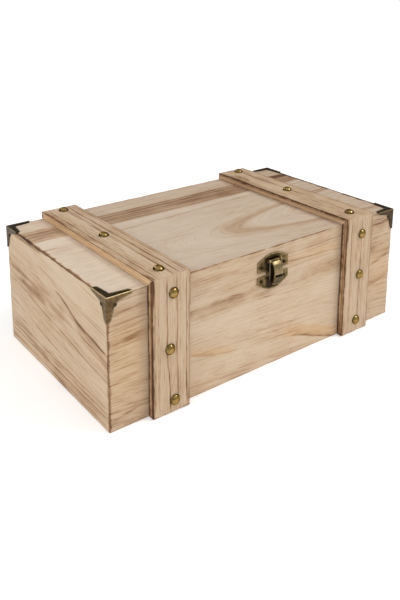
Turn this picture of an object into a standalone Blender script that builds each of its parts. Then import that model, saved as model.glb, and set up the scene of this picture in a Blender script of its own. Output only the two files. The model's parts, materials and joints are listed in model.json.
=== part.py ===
"""A small decorative wooden chest with a hinged lid, wooden straps and a hasp latch.

Metres, +Z up, front towards -Y. The origin is the middle of the underside of the base.
Left and right are as seen from the front.
"""

import math

import bmesh
import bpy
from mathutils import Matrix, Vector

# Box, measured over its boards
BOX_LENGTH = 0.350
BOX_DEPTH = 0.194
BOX_HEIGHT = 0.119
SEAM_HEIGHT = 0.0936
BOARD = 0.008
BOTTOM_BOARD = 0.005
BOARD_ROUNDING = 0.0005

# Clearances
FIT_GAP = 0.0003
OVERRUN = 0.002
WELD_DISTANCE = 0.000002

# Straps
STRAP_WIDTH = 0.0385
STRAP_THICKNESS = 0.007
STRAP_ROUNDING = 0.0007
LEFT_STRAP_MARGIN = 0.0377
RIGHT_STRAP_MARGIN = 0.0413

# Domed nails in the straps
STRAP_NAIL_HEAD = 0.0097
STRAP_NAIL_DOME = 0.0029
STRAP_NAIL_RIM = 0.0004
STRAP_NAIL_SHANK = 0.0012
STRAP_NAIL_BITE = 0.004

# Corner brackets, with two brads each
BRACKET_ARM = 0.0235
BRACKET_DROP = 0.021
BRACKET_SHEET = 0.0007
BRACKET_BAND = 0.0058
BRACKET_BAND_TIP = 0.0042
BRACKET_TIP_LENGTH = 0.0028
BRACKET_ARM_TIP = 0.0016
BRACKET_DROP_TIP = 0.0034
BRACKET_ARM_ROOT = 0.0042
BRACKET_DROP_ROOT = 0.0059
BRACKET_ROOT_REACH = 0.0104
BRACKET_EAR_INSET = 0.0067
BRACKET_EAR = 0.0042
BRAD_HEAD = 0.0024
BRAD_DOME = 0.0007
BRAD_SHANK = 0.0010
BRAD_BITE = 0.0042

# Latch plates
LATCH_OFFSET = 0.0015
LATCH_WIDTH = 0.038
LATCH_PLATE = 0.0009
LATCH_BRIDGE = 0.0165
UPPER_WING_RISE = 0.0033
UPPER_WING_SLOPE = 0.0005
UPPER_BRIDGE_RISE = 0.0006
UPPER_SIDE = 0.0105
UPPER_PEAK = 0.0061
LOWER_PLATE_DROP = 0.0007
LOWER_SIDE = 0.0071
LOWER_PEAK = 0.0075
PLATE_SLOPE_SHARES = ((1.0, 0.0), (0.58, 0.6), (0.2, 1.0))
LATCH_NAIL_SPACING = 0.028
UPPER_NAIL_RISE = 0.0078
LOWER_NAIL_DROP = 0.0056
LATCH_NAIL_HEAD = 0.0034
LATCH_NAIL_DOME = 0.0009
LATCH_NAIL_RIM = 0.0002
LATCH_NAIL_SHANK = 0.0012
LATCH_NAIL_BITE = 0.0045

# Latch flap, its pin and the catch that it covers
FLAP_WIDTH = 0.011
FLAP_LENGTH = 0.0220
FLAP_BULGE = 0.0060
FLAP_SHEET = 0.0010
FLAP_LIP = 0.00015
FLAP_PROFILE_SHARES = (
    (0.30, 0.00),
    (0.70, 0.13),
    (0.93, 0.29),
    (1.00, 0.48),
    (0.93, 0.68),
    (0.74, 0.85),
    (0.56, 0.95),
    (0.64, 1.00),
)
FLAP_PIN_RISE = 0.0134
FLAP_KNUCKLE = 0.0038
FLAP_PIN = 0.0013
PLATE_KNUCKLE_WIDTH = 0.0022
PLATE_FOOT_HEIGHT = 0.0024
PLATE_FOOT_WIDTH = 0.0018
FLANGE_TOP = 0.0034
FLANGE_END = 0.0022
SLOT_WIDTH = 0.0080
SLOT_HEIGHT = 0.0016
SLOT_RISE = 0.0004
CATCH_SIDE_GAP = 0.0005
CATCH_RISE = 0.0032
CATCH_HEIGHT = 0.0070
CATCH_DROP = 0.0012
CATCH_PROFILE_SHARES = ((0.82, 0.00), (1.00, 0.10), (1.00, 0.30), (0.62, 0.75), (0.10, 1.00))

# Hinges
HINGE_MARGIN = 0.075
HINGE_WIDTH = 0.030
HINGE_LEAF = 0.0011
HINGE_LEAF_REACH = 0.0135
HINGE_KNUCKLE = 0.0044
HINGE_CENTRE_KNUCKLE = 0.0100
HINGE_PIN = 0.0018
HINGE_PIN_END = 0.0004
HINGE_STOP_REACH = 0.0060
HINGE_NAIL_SPACING = 0.020
HINGE_NAIL_REACH = 0.0082
HINGE_NAIL_HEAD = 0.0040
HINGE_NAIL_DOME = 0.0009
HINGE_NAIL_RIM = 0.0002
HINGE_NAIL_SHANK = 0.0014
HINGE_NAIL_BITE = 0.005
LID_SWING = math.radians(100)

# Facets
NAIL_FACETS = 16
SMALL_FACETS = 12
DOME_RINGS = 4
ARC_STEPS = 4
SHARP_ANGLE = math.radians(40)

# Nails' places along each strap, as shares of the stretch that they stand on, and their sideways
# scatter as shares of the strap's width
TOP_NAIL_SHARES = {
    "left": (("front", 0.042, -0.056), ("middle", 0.515, -0.027), ("back", 0.950, 0.017)),
    "right": (("front", 0.035, -0.025), ("middle", 0.505, 0.032), ("back", 0.950, 0.100)),
}
LOWER_NAIL_SHARES = {
    "left": (("middle", 0.645, -0.050), ("lower", 0.125, 0.077)),
    "right": (("middle", 0.678, 0.058), ("lower", 0.142, 0.017)),
}
UPPER_NAIL_SHARES = {"left": (0.654, 0.048), "right": (0.543, 0.069)}

# Places that several pieces share
MITRE_SETBACK = FIT_GAP / math.sqrt(2)
END_X = BOX_LENGTH / 2
FACE_Y = BOX_DEPTH / 2
BASE_TOP = SEAM_HEIGHT - FIT_GAP / 2
LID_BOTTOM = SEAM_HEIGHT + FIT_GAP / 2
STRAP_STAND = FIT_GAP + STRAP_THICKNESS
STRAP_CENTRE_X = {
    "left": -END_X + LEFT_STRAP_MARGIN + STRAP_WIDTH / 2,
    "right": END_X - RIGHT_STRAP_MARGIN - STRAP_WIDTH / 2,
}
HINGE_AXIS = Vector((0, FACE_Y + FIT_GAP + HINGE_KNUCKLE / 2, SEAM_HEIGHT))
PLATE_FRONT = FIT_GAP + LATCH_PLATE
FLAP_AXIS = Vector(
    (
        LATCH_OFFSET,
        -FACE_Y - PLATE_FRONT - FIT_GAP - FLAP_KNUCKLE / 2,
        SEAM_HEIGHT + FLAP_PIN_RISE,
    )
)

X, Y, Z = range(3)
FORWARD = Vector((0, -1, 0))
BACKWARD = Vector((0, 1, 0))
UPWARD = Vector((0, 0, 1))
RIGHTWARD = Vector((1, 0, 0))

pieces = {}


def clear_scene():
    for old in list(bpy.data.objects):
        bpy.data.objects.remove(old, do_unlink=True)


def new_collection(name, hidden):
    collection = bpy.data.collections.new(name)
    collection.hide_render = hidden
    bpy.context.scene.collection.children.link(collection)
    return collection


def new_finish(name, colour, roughness, metallic=0.0):
    finish = bpy.data.materials.new(name)
    finish.use_nodes = True
    shader = finish.node_tree.nodes["Principled BSDF"]
    shader.inputs["Base Color"].default_value = (*colour, 1.0)
    shader.inputs["Roughness"].default_value = roughness
    shader.inputs["Metallic"].default_value = metallic
    finish.diffuse_color = (*colour, 1.0)
    return finish


clear_scene()
PARTS = new_collection("decorative_wooden_chest", hidden=False)
TOOLS = new_collection("cutters", hidden=True)
PANEL_WOOD = new_finish("panel_wood", (0.60, 0.43, 0.28), 0.62)
LID_WOOD = new_finish("lid_wood", (0.58, 0.43, 0.31), 0.62)
STRAP_WOOD = new_finish("strap_wood", (0.52, 0.36, 0.22), 0.60)
NAIL_BRASS = new_finish("nail_brass", (0.62, 0.45, 0.16), 0.25, 1.0)
BRACKET_BRONZE = new_finish("bracket_bronze", (0.22, 0.17, 0.09), 0.42, 1.0)
LATCH_BRONZE = new_finish("latch_bronze", (0.38, 0.29, 0.12), 0.35, 1.0)
HINGE_BRONZE = new_finish("hinge_bronze", (0.30, 0.23, 0.12), 0.40, 1.0)
PIN_STEEL = new_finish("pin_steel", (0.35, 0.32, 0.28), 0.35, 1.0)


def add_pivot(name, place, parent=None):
    """An empty on a joint's axis, which carries the pieces that turn about it."""
    pivot = bpy.data.objects.new(name, None)
    pivot.location = place - parent["place"] if parent else place
    PARTS.objects.link(pivot)
    if parent:
        pivot.parent = parent["object"]
    return {"object": pivot, "place": place}


def add_piece(name, mesh, place, finish, pivot=None):
    """A named sub-part at a place in the world, carried by its pivot where it moves."""
    piece = bpy.data.objects.new(name, mesh)
    piece.location = place
    if pivot:
        piece.parent = pivot["object"]
        piece.location = place - pivot["place"]
    if not mesh.materials:
        mesh.materials.append(finish)
    PARTS.objects.link(piece)
    pieces[name] = piece
    return piece


def add_tool(name, mesh, matrix):
    """A hidden shape that cuts or joins."""
    tool = bpy.data.objects.new(name, mesh)
    tool.matrix_world = matrix
    tool.hide_render = True
    tool.display_type = "WIRE"
    TOOLS.objects.link(tool)
    return tool


def combine(piece, tool, operation):
    modifier = piece.modifiers.new(tool.name, "BOOLEAN")
    modifier.operation = operation
    modifier.object = tool
    modifier.solver = "EXACT"


def round_edges(piece, width):
    bevel = piece.modifiers.new("rounded_edges", "BEVEL")
    bevel.width = width
    bevel.segments = 1


def turned_towards(direction):
    return direction.to_track_quat("Z", "Y").to_matrix().to_4x4()


def frame_of(across, up, place):
    """The matrix that lays a flat outline's X along across and its Y along up."""
    columns = Matrix((across, up, across.cross(up))).transposed().to_4x4()
    return Matrix.Translation(place) @ columns


def box_mesh(name, size):
    """A box of this size about its own middle."""
    shape = bmesh.new()
    bmesh.ops.create_cube(shape, size=1.0)
    bmesh.ops.scale(shape, vec=size, verts=shape.verts)
    mesh = bpy.data.meshes.new(name)
    shape.to_mesh(mesh)
    shape.free()
    return mesh


def rod_mesh(name, diameter, length, facets):
    """A round rod along its own Z, about its own middle."""
    shape = bmesh.new()
    bmesh.ops.create_cone(
        shape,
        cap_ends=True,
        segments=facets,
        radius1=diameter / 2,
        radius2=diameter / 2,
        depth=length,
    )
    mesh = bpy.data.meshes.new(name)
    shape.to_mesh(mesh)
    shape.free()
    mesh.shade_smooth()
    mesh.set_sharp_from_angle(angle=SHARP_ANGLE)
    return mesh


def sheet_tool(name, outline, thickness, matrix):
    """A flat closed outline given a thickness about its own plane, as a mesh."""
    curve = bpy.data.curves.new(name, "CURVE")
    curve.dimensions = "2D"
    curve.fill_mode = "BOTH"
    curve.extrude = thickness / 2
    spline = curve.splines.new("POLY")
    spline.points.add(len(outline) - 1)
    for point, (across, up) in zip(spline.points, outline):
        point.co = (across, up, 0, 1)
    spline.use_cyclic_u = True
    drawn = bpy.data.objects.new(name, curve)
    drawn.matrix_world = matrix
    TOOLS.objects.link(drawn)
    bpy.context.view_layer.update()
    graph = bpy.context.evaluated_depsgraph_get()
    mesh = bpy.data.meshes.new_from_object(drawn.evaluated_get(graph))
    shape = bmesh.new()
    shape.from_mesh(mesh)
    bmesh.ops.remove_doubles(shape, verts=shape.verts, dist=WELD_DISTANCE)
    bmesh.ops.recalc_face_normals(shape, faces=shape.faces)
    shape.to_mesh(mesh)
    shape.free()
    mesh.name = name
    bpy.data.objects.remove(drawn, do_unlink=True)
    return add_tool(name, mesh, matrix)


def box_tool(name, low, high):
    middle = (low + high) / 2
    return add_tool(name, box_mesh(name, high - low), Matrix.Translation(middle))


def rod_tool(name, diameter, length, direction, middle, facets=SMALL_FACETS):
    mesh = rod_mesh(name, diameter, length, facets)
    return add_tool(name, mesh, Matrix.Translation(middle) @ turned_towards(direction))


def combined_mesh(name, body, joined=(), cut=()):
    """The mesh of a body with some tools joined to it and others cut from it. It uses them up."""
    for tool in joined:
        combine(body, tool, "UNION")
    for tool in cut:
        combine(body, tool, "DIFFERENCE")
    bpy.context.view_layer.update()
    graph = bpy.context.evaluated_depsgraph_get()
    mesh = bpy.data.meshes.new_from_object(body.evaluated_get(graph))
    mesh.transform(body.matrix_world)
    mesh.materials.clear()
    mesh.name = name
    for used in (body, *joined, *cut):
        bpy.data.objects.remove(used, do_unlink=True)
    return mesh


def mitred_board(name, low, high, outer_face, mitred_sides, rounding, finish, pivot=None):
    """A board whose mitred sides slope in at 45 degrees from its outer face to its inner face."""
    size = high - low
    depth_axis, outward = outer_face
    mesh = box_mesh(name, size)
    for vertex in mesh.vertices:
        if vertex.co[depth_axis] * outward > 0:
            continue
        for side_axis, side in mitred_sides:
            if vertex.co[side_axis] * side > 0:
                vertex.co[side_axis] -= side * size[depth_axis]
    board = add_piece(name, mesh, (low + high) / 2, finish, pivot)
    round_edges(board, rounding)
    return board


def nail_mesh(name, head, dome, rim, shank, length):
    """A nail along its own Z: a domed head that stands on the XY plane, over a pointed shank."""
    sphere = ((head / 2) ** 2 + dome**2) / (2 * dome)
    reach = math.acos((sphere - dome) / sphere)
    profile = []
    for ring in range(DOME_RINGS + 1):
        angle = reach * ring / DOME_RINGS
        profile.append((sphere * math.sin(angle), rim + dome - sphere * (1 - math.cos(angle))))
    profile += [(head / 2, 0), (shank / 2, 0), (shank / 2, shank - length), (0, -length)]
    mesh = bpy.data.meshes.new(name)
    points = [(radius, 0, height) for radius, height in profile]
    edges = [(index, index + 1) for index in range(len(points) - 1)]
    mesh.from_pydata(points, edges, [])
    return mesh


def turn_profile(piece, facets):
    screw = piece.modifiers.new("turned", "SCREW")
    screw.axis = "Z"
    screw.steps = facets
    screw.render_steps = facets
    screw.use_merge_vertices = True
    screw.merge_threshold = WELD_DISTANCE
    screw.use_smooth_shade = True


def drive_nail(name, mesh, place, outward, depth, hole, through, finish, facets, pivot=None):
    """Puts a nail with its head's underside at place, in a hole through the pieces that it holds."""
    nail = add_piece(name, mesh, place, finish, pivot)
    nail.rotation_euler = turned_towards(outward).to_euler()
    turn_profile(nail, facets)
    drill(name + "_hole", place, outward, depth, hole, through)
    return nail


def drill(name, place, outward, depth, hole, through):
    length = OVERRUN + depth + FIT_GAP
    middle = place + outward * (OVERRUN - length / 2)
    cutter = rod_tool(name, hole, length, outward, middle)
    for piece in through:
        combine(pieces[piece], cutter, "DIFFERENCE")


def build_base():
    end, face = END_X, FACE_Y
    set_back = MITRE_SETBACK
    for name, side in (("base_front_panel", -1), ("base_back_panel", 1)):
        outer, inner = side * face, side * (face - BOARD)
        mitred_board(
            name,
            Vector((-end + set_back, min(outer, inner), 0)),
            Vector((end - set_back, max(outer, inner), BASE_TOP)),
            (Y, side),
            ((X, -1), (X, 1)),
            BOARD_ROUNDING,
            PANEL_WOOD,
        )
    for name, side in (("base_left_panel", -1), ("base_right_panel", 1)):
        outer, inner = side * end, side * (end - BOARD)
        mitred_board(
            name,
            Vector((min(outer, inner), -face + set_back, 0)),
            Vector((max(outer, inner), face - set_back, BASE_TOP)),
            (X, side),
            ((Y, -1), (Y, 1)),
            BOARD_ROUNDING,
            PANEL_WOOD,
        )
    inside = Vector((end - BOARD - FIT_GAP, face - BOARD - FIT_GAP, BOTTOM_BOARD))
    size = Vector((2 * inside.x, 2 * inside.y, inside.z))
    middle = Vector((0, 0, BOTTOM_BOARD / 2))
    add_piece("base_bottom_panel", box_mesh("base_bottom_panel", size), middle, PANEL_WOOD)


def build_lid(pivot):
    end, face = END_X, FACE_Y
    set_back = MITRE_SETBACK
    rail_top = BOX_HEIGHT - set_back
    mitred_board(
        "lid_top_panel",
        Vector((-end + set_back, -face + set_back, BOX_HEIGHT - BOARD)),
        Vector((end - set_back, face - set_back, BOX_HEIGHT)),
        (Z, 1),
        ((X, -1), (X, 1), (Y, -1), (Y, 1)),
        BOARD_ROUNDING,
        LID_WOOD,
        pivot,
    )
    for name, side in (("lid_front_rail", -1), ("lid_back_rail", 1)):
        outer, inner = side * face, side * (face - BOARD)
        mitred_board(
            name,
            Vector((-end + set_back, min(outer, inner), LID_BOTTOM)),
            Vector((end - set_back, max(outer, inner), rail_top)),
            (Y, side),
            ((X, -1), (X, 1), (Z, 1)),
            BOARD_ROUNDING,
            LID_WOOD,
            pivot,
        )
    for name, side in (("lid_left_rail", -1), ("lid_right_rail", 1)):
        outer, inner = side * end, side * (end - BOARD)
        mitred_board(
            name,
            Vector((min(outer, inner), -face + set_back, LID_BOTTOM)),
            Vector((max(outer, inner), face - set_back, rail_top)),
            (X, side),
            ((Y, -1), (Y, 1), (Z, 1)),
            BOARD_ROUNDING,
            LID_WOOD,
            pivot,
        )


def build_straps(side, pivot):
    """One strap in three pieces: over the lid, down the lid's front and down the base's front."""
    left = STRAP_CENTRE_X[side] - STRAP_WIDTH / 2
    right = STRAP_CENTRE_X[side] + STRAP_WIDTH / 2
    front = -FACE_Y - STRAP_STAND
    top = BOX_HEIGHT + STRAP_STAND
    mitred_board(
        "strap_top_" + side,
        Vector((left, front + MITRE_SETBACK, BOX_HEIGHT + FIT_GAP)),
        Vector((right, FACE_Y, top)),
        (Z, 1),
        ((Y, -1),),
        STRAP_ROUNDING,
        STRAP_WOOD,
        pivot,
    )
    mitred_board(
        "strap_front_upper_" + side,
        Vector((left, front, LID_BOTTOM)),
        Vector((right, -FACE_Y - FIT_GAP, top - MITRE_SETBACK)),
        (Y, -1),
        ((Z, 1),),
        STRAP_ROUNDING,
        STRAP_WOOD,
        pivot,
    )
    mitred_board(
        "strap_front_lower_" + side,
        Vector((left, front, 0)),
        Vector((right, -FACE_Y - FIT_GAP, BASE_TOP)),
        (Y, -1),
        (),
        STRAP_ROUNDING,
        STRAP_WOOD,
    )


def build_strap_nails(side, pivot):
    length = FIT_GAP + STRAP_STAND + STRAP_NAIL_BITE
    hole = STRAP_NAIL_SHANK + 2 * FIT_GAP
    mesh = nail_mesh(
        "strap_nail",
        STRAP_NAIL_HEAD,
        STRAP_NAIL_DOME,
        STRAP_NAIL_RIM,
        STRAP_NAIL_SHANK,
        length,
    )

    def drive(name, place, outward, through, carrier):
        drive_nail(
            name, mesh, place, outward, length, hole, through, NAIL_BRASS, NAIL_FACETS, carrier
        )

    for spot, along_share, scatter_share in TOP_NAIL_SHARES[side]:
        across = STRAP_CENTRE_X[side] + scatter_share * STRAP_WIDTH
        back = -FACE_Y + along_share * BOX_DEPTH
        place = Vector((across, back, BOX_HEIGHT + STRAP_STAND + FIT_GAP))
        through = ("strap_top_" + side, "lid_top_panel")
        drive(f"nail_top_{side}_{spot}", place, UPWARD, through, pivot)
    front = -FACE_Y - STRAP_STAND - FIT_GAP
    along_share, scatter_share = UPPER_NAIL_SHARES[side]
    across = STRAP_CENTRE_X[side] + scatter_share * STRAP_WIDTH
    height = SEAM_HEIGHT + along_share * (BOX_HEIGHT - SEAM_HEIGHT)
    through = ("strap_front_upper_" + side, "lid_front_rail")
    drive(f"nail_front_{side}_upper", Vector((across, front, height)), FORWARD, through, pivot)
    for spot, along_share, scatter_share in LOWER_NAIL_SHARES[side]:
        across = STRAP_CENTRE_X[side] + scatter_share * STRAP_WIDTH
        place = Vector((across, front, along_share * SEAM_HEIGHT))
        through = ("strap_front_lower_" + side, "base_front_panel")
        drive(f"nail_front_{side}_{spot}", place, FORWARD, through, None)


def arm_edge(reach, tip_width, root_width, root_reach):
    """The edge of one bracket arm on one face: round at its tip, then straight to its root."""
    edge = []
    for step in range(ARC_STEPS + 1):
        angle = math.radians(90) * step / ARC_STEPS
        along = reach - BRACKET_TIP_LENGTH * (1 - math.cos(angle))
        edge.append((along, tip_width * math.sin(angle)))
    edge.append((root_reach, root_width))
    return edge


def swapped(points):
    return [(second, first) for first, second in reversed(points)]


def bracket_outline(first_arm, second_arm, middle):
    """A bracket's outline on one face, from the box's corner, past the folds that it wraps."""
    fold = -FIT_GAP - BRACKET_SHEET
    first_tip = (first_arm[0][0], fold)
    second_tip = (fold, second_arm[0][0])
    return [(fold, fold), first_tip, *first_arm, *middle, *swapped(second_arm), second_tip]


def ear_arc():
    """The round ear that holds a brad, from one arm's side to the other's."""
    arc = []
    for step in range(2 * ARC_STEPS + 1):
        angle = math.radians(180) * step / (2 * ARC_STEPS) - math.radians(45)
        arc.append(
            (
                BRACKET_EAR_INSET + BRACKET_EAR / 2 * math.cos(angle),
                BRACKET_EAR_INSET + BRACKET_EAR / 2 * math.sin(angle),
            )
        )
    return arc


def bracket_mesh():
    """The bracket of the left front corner, about that corner of the lid."""
    stand = FIT_GAP + BRACKET_SHEET / 2
    down = -UPWARD
    band = arm_edge(BRACKET_ARM, BRACKET_BAND_TIP, BRACKET_BAND, BRACKET_BAND)
    top_outline = bracket_outline(band[:-1], band, [])
    side_outline = bracket_outline(
        arm_edge(BRACKET_ARM, BRACKET_ARM_TIP, BRACKET_ARM_ROOT, BRACKET_ROOT_REACH),
        arm_edge(BRACKET_DROP, BRACKET_DROP_TIP, BRACKET_DROP_ROOT, BRACKET_ROOT_REACH),
        ear_arc(),
    )
    top = sheet_tool(
        "bracket_top",
        top_outline,
        BRACKET_SHEET,
        frame_of(RIGHTWARD, BACKWARD, UPWARD * stand),
    )
    joined = []
    ear = BRACKET_EAR_INSET
    length = FIT_GAP + BRAD_BITE
    for name, along, outward in (("front", RIGHTWARD, FORWARD), ("side", BACKWARD, -RIGHTWARD)):
        matrix = frame_of(along, down, outward * stand)
        joined.append(sheet_tool("bracket_" + name, side_outline, BRACKET_SHEET, matrix))
        place = along * ear + down * ear
        seat = FIT_GAP + BRACKET_SHEET
        brad_middle = place + outward * (seat / 2 - length / 2)
        joined.append(
            rod_tool("brad_" + name, BRAD_SHANK, length + seat, outward, brad_middle)
        )
        head_middle = place + outward * (seat + BRAD_DOME / 2 - BRACKET_SHEET / 4)
        head_length = BRAD_DOME + BRACKET_SHEET / 2
        joined.append(rod_tool("brad_head_" + name, BRAD_HEAD, head_length, outward, head_middle))
    return combined_mesh("corner_bracket", top, joined)


def build_brackets(pivot):
    mesh = bracket_mesh()
    for name, right, back in (
        ("front_left", -1, -1),
        ("front_right", 1, -1),
        ("back_left", -1, 1),
        ("back_right", 1, 1),
    ):
        corner = Vector((right * END_X, back * FACE_Y, BOX_HEIGHT))
        bracket = add_piece("corner_bracket_" + name, mesh, corner, BRACKET_BRONZE, pivot)
        bracket.scale = (-right, -back, 1)
        inset = BRACKET_EAR_INSET
        hole = BRAD_SHANK + 2 * FIT_GAP
        face_rail = "lid_back_rail" if back > 0 else "lid_front_rail"
        end_rail = "lid_right_rail" if right > 0 else "lid_left_rail"
        on_face = corner + Vector((-right * inset, 0, -inset))
        on_end = corner + Vector((0, -back * inset, -inset))
        drill(name + "_face_brad", on_face, BACKWARD * back, BRAD_BITE, hole, (face_rail,))
        drill(name + "_end_brad", on_end, RIGHTWARD * right, BRAD_BITE, hole, (end_rail,))


def plate_slope(side, peak):
    """The sloping edge of a latch plate, as (across, beyond the straight side) from right to left."""
    half = LATCH_WIDTH / 2
    right = [(half * across, peak * along) for across, along in PLATE_SLOPE_SHARES]
    left = [(-across, along) for across, along in reversed(right)]
    return [(across, side + along) for across, along in right + left]


def build_latch_plates(pivot):
    half, bridge = LATCH_WIDTH / 2, LATCH_BRIDGE / 2
    seam = Vector((LATCH_OFFSET, -FACE_Y - FIT_GAP - LATCH_PLATE / 2, SEAM_HEIGHT))
    upper_outline = [
        (-half, UPPER_WING_RISE + UPPER_WING_SLOPE),
        (-bridge, UPPER_WING_RISE),
        (-bridge, UPPER_BRIDGE_RISE),
        (bridge, UPPER_BRIDGE_RISE),
        (bridge, UPPER_WING_RISE),
        (half, UPPER_WING_RISE + UPPER_WING_SLOPE),
        *plate_slope(UPPER_WING_RISE + UPPER_SIDE, UPPER_PEAK),
    ]
    upper = sheet_tool(
        "upper_sheet", upper_outline, LATCH_PLATE, frame_of(RIGHTWARD, UPWARD, seam)
    )
    knuckles = []
    reach = FLAP_WIDTH / 2 + FIT_GAP
    for side in (-1, 1):
        middle = FLAP_AXIS + RIGHTWARD * side * (reach + PLATE_KNUCKLE_WIDTH / 2)
        knuckles.append(
            rod_tool("knuckle", FLAP_KNUCKLE, PLATE_KNUCKLE_WIDTH, RIGHTWARD, middle)
        )
        half_foot = Vector((PLATE_FOOT_WIDTH / 2, 0, PLATE_FOOT_HEIGHT / 2))
        foot_depth = Vector((0, FIT_GAP + FLAP_KNUCKLE / 2 + LATCH_PLATE / 2, 0))
        knuckles.append(box_tool("foot", middle - half_foot, middle + half_foot + foot_depth))
    pin_length = FLAP_WIDTH + 2 * FIT_GAP + 2 * PLATE_KNUCKLE_WIDTH
    pin_hole = rod_tool(
        "pin_hole", FLAP_PIN + 2 * FIT_GAP, pin_length + 2 * OVERRUN, RIGHTWARD, FLAP_AXIS
    )
    mesh = combined_mesh("latch_upper_plate", upper, knuckles, [pin_hole])
    mesh.transform(Matrix.Translation(-seam))
    add_piece("latch_upper_plate", mesh, seam, LATCH_BRONZE, pivot)
    pin = add_piece(
        "latch_pin",
        rod_mesh("latch_pin", FLAP_PIN, pin_length, SMALL_FACETS),
        FLAP_AXIS,
        PIN_STEEL,
        pivot,
    )
    pin.rotation_euler = turned_towards(RIGHTWARD).to_euler()

    top = -LOWER_PLATE_DROP
    lower_outline = [
        (across, -along) for across, along in plate_slope(LOWER_PLATE_DROP + LOWER_SIDE, LOWER_PEAK)
    ]
    lower_outline += [(-half, top), (half, top)]
    lower = sheet_tool(
        "lower_sheet", lower_outline, LATCH_PLATE, frame_of(RIGHTWARD, UPWARD, seam)
    )
    catch_root = PLATE_FRONT - LATCH_PLATE / 2
    catch_outline = [(catch_root, -LOWER_PLATE_DROP - CATCH_DROP)]
    catch_outline += [
        (PLATE_FRONT + out * CATCH_RISE, -LOWER_PLATE_DROP - CATCH_DROP - down * CATCH_HEIGHT)
        for out, down in CATCH_PROFILE_SHARES
    ]
    catch_outline.append((catch_root, -LOWER_PLATE_DROP - CATCH_DROP - CATCH_HEIGHT))
    catch_width = FLAP_WIDTH - 2 * (FLAP_SHEET + FLAP_LIP + CATCH_SIDE_GAP)
    at_wall = Vector((LATCH_OFFSET, -FACE_Y, SEAM_HEIGHT))
    catch = sheet_tool("catch", catch_outline, catch_width, frame_of(FORWARD, UPWARD, at_wall))
    mesh = combined_mesh("latch_lower_plate", lower, [catch])
    mesh.transform(Matrix.Translation(-seam))
    add_piece("latch_lower_plate", mesh, seam, LATCH_BRONZE)


def offset_profile(profile, distance):
    """The same profile moved by distance to its right-hand side, point by point."""
    moved = []
    for index, point in enumerate(profile):
        before = Vector(profile[max(index - 1, 0)])
        after = Vector(profile[min(index + 1, len(profile) - 1)])
        along = (after - before).normalized()
        moved.append((point[0] + along.y * distance, point[1] - along.x * distance))
    return moved


def build_flap(pivot):
    """The latch's swinging flap: a bulged sheet with side flanges, a slot and a knuckle."""
    matrix = frame_of(FORWARD, UPWARD, FLAP_AXIS)
    outer = [(out * FLAP_BULGE, -down * FLAP_LENGTH) for out, down in FLAP_PROFILE_SHARES]
    inner = offset_profile(outer, FLAP_SHEET)
    sheet = sheet_tool("flap_sheet", outer + inner[::-1], FLAP_WIDTH, matrix)
    knuckle_width = FLAP_WIDTH - 4 * FLAP_LIP
    joined = [rod_tool("flap_knuckle", FLAP_KNUCKLE, knuckle_width, RIGHTWARD, FLAP_AXIS)]
    back = -FLAP_KNUCKLE / 2
    middle_line = offset_profile(outer, FLAP_SHEET / 2)[1:-1]
    flange_outline = [*middle_line, (back, FLANGE_END - FLAP_LENGTH), (back, -FLANGE_TOP)]
    for side in (-1, 1):
        shift = RIGHTWARD * side * ((FLAP_WIDTH - FLAP_SHEET) / 2 - FLAP_LIP)
        flange_matrix = Matrix.Translation(shift) @ matrix
        joined.append(sheet_tool("flange", flange_outline, FLAP_SHEET, flange_matrix))
    pin_hole = rod_tool(
        "pin_hole", FLAP_PIN + 2 * FIT_GAP, FLAP_WIDTH + 2 * OVERRUN, RIGHTWARD, FLAP_AXIS
    )
    slot_middle = Vector((LATCH_OFFSET, FLAP_AXIS.y - FLAP_BULGE, SEAM_HEIGHT + SLOT_RISE))
    half_slot = Vector((SLOT_WIDTH / 2, FLAP_SHEET + OVERRUN, SLOT_HEIGHT / 2))
    slot = box_tool("slot", slot_middle - half_slot, slot_middle + half_slot)
    mesh = combined_mesh("latch_flap", sheet, joined, [pin_hole, slot])
    mesh.transform(Matrix.Translation(-FLAP_AXIS))
    add_piece("latch_flap", mesh, FLAP_AXIS, LATCH_BRONZE, pivot)


def build_latch_nails(pivot):
    length = FIT_GAP + PLATE_FRONT + LATCH_NAIL_BITE
    hole = LATCH_NAIL_SHANK + 2 * FIT_GAP
    mesh = nail_mesh(
        "latch_nail",
        LATCH_NAIL_HEAD,
        LATCH_NAIL_DOME,
        LATCH_NAIL_RIM,
        LATCH_NAIL_SHANK,
        length,
    )
    for level, height, wall, carrier in (
        ("upper", SEAM_HEIGHT + UPPER_NAIL_RISE, "lid_front_rail", pivot),
        ("lower", SEAM_HEIGHT - LOWER_NAIL_DROP, "base_front_panel", None),
    ):
        for name, side in (("left", -1), ("right", 1)):
            across = LATCH_OFFSET + side * LATCH_NAIL_SPACING / 2
            place = Vector((across, -FACE_Y - PLATE_FRONT - FIT_GAP, height))
            drive_nail(
                f"latch_nail_{level}_{name}",
                mesh,
                place,
                FORWARD,
                length,
                hole,
                (f"latch_{level}_plate", wall),
                LATCH_BRONZE,
                SMALL_FACETS,
                carrier,
            )


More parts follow.
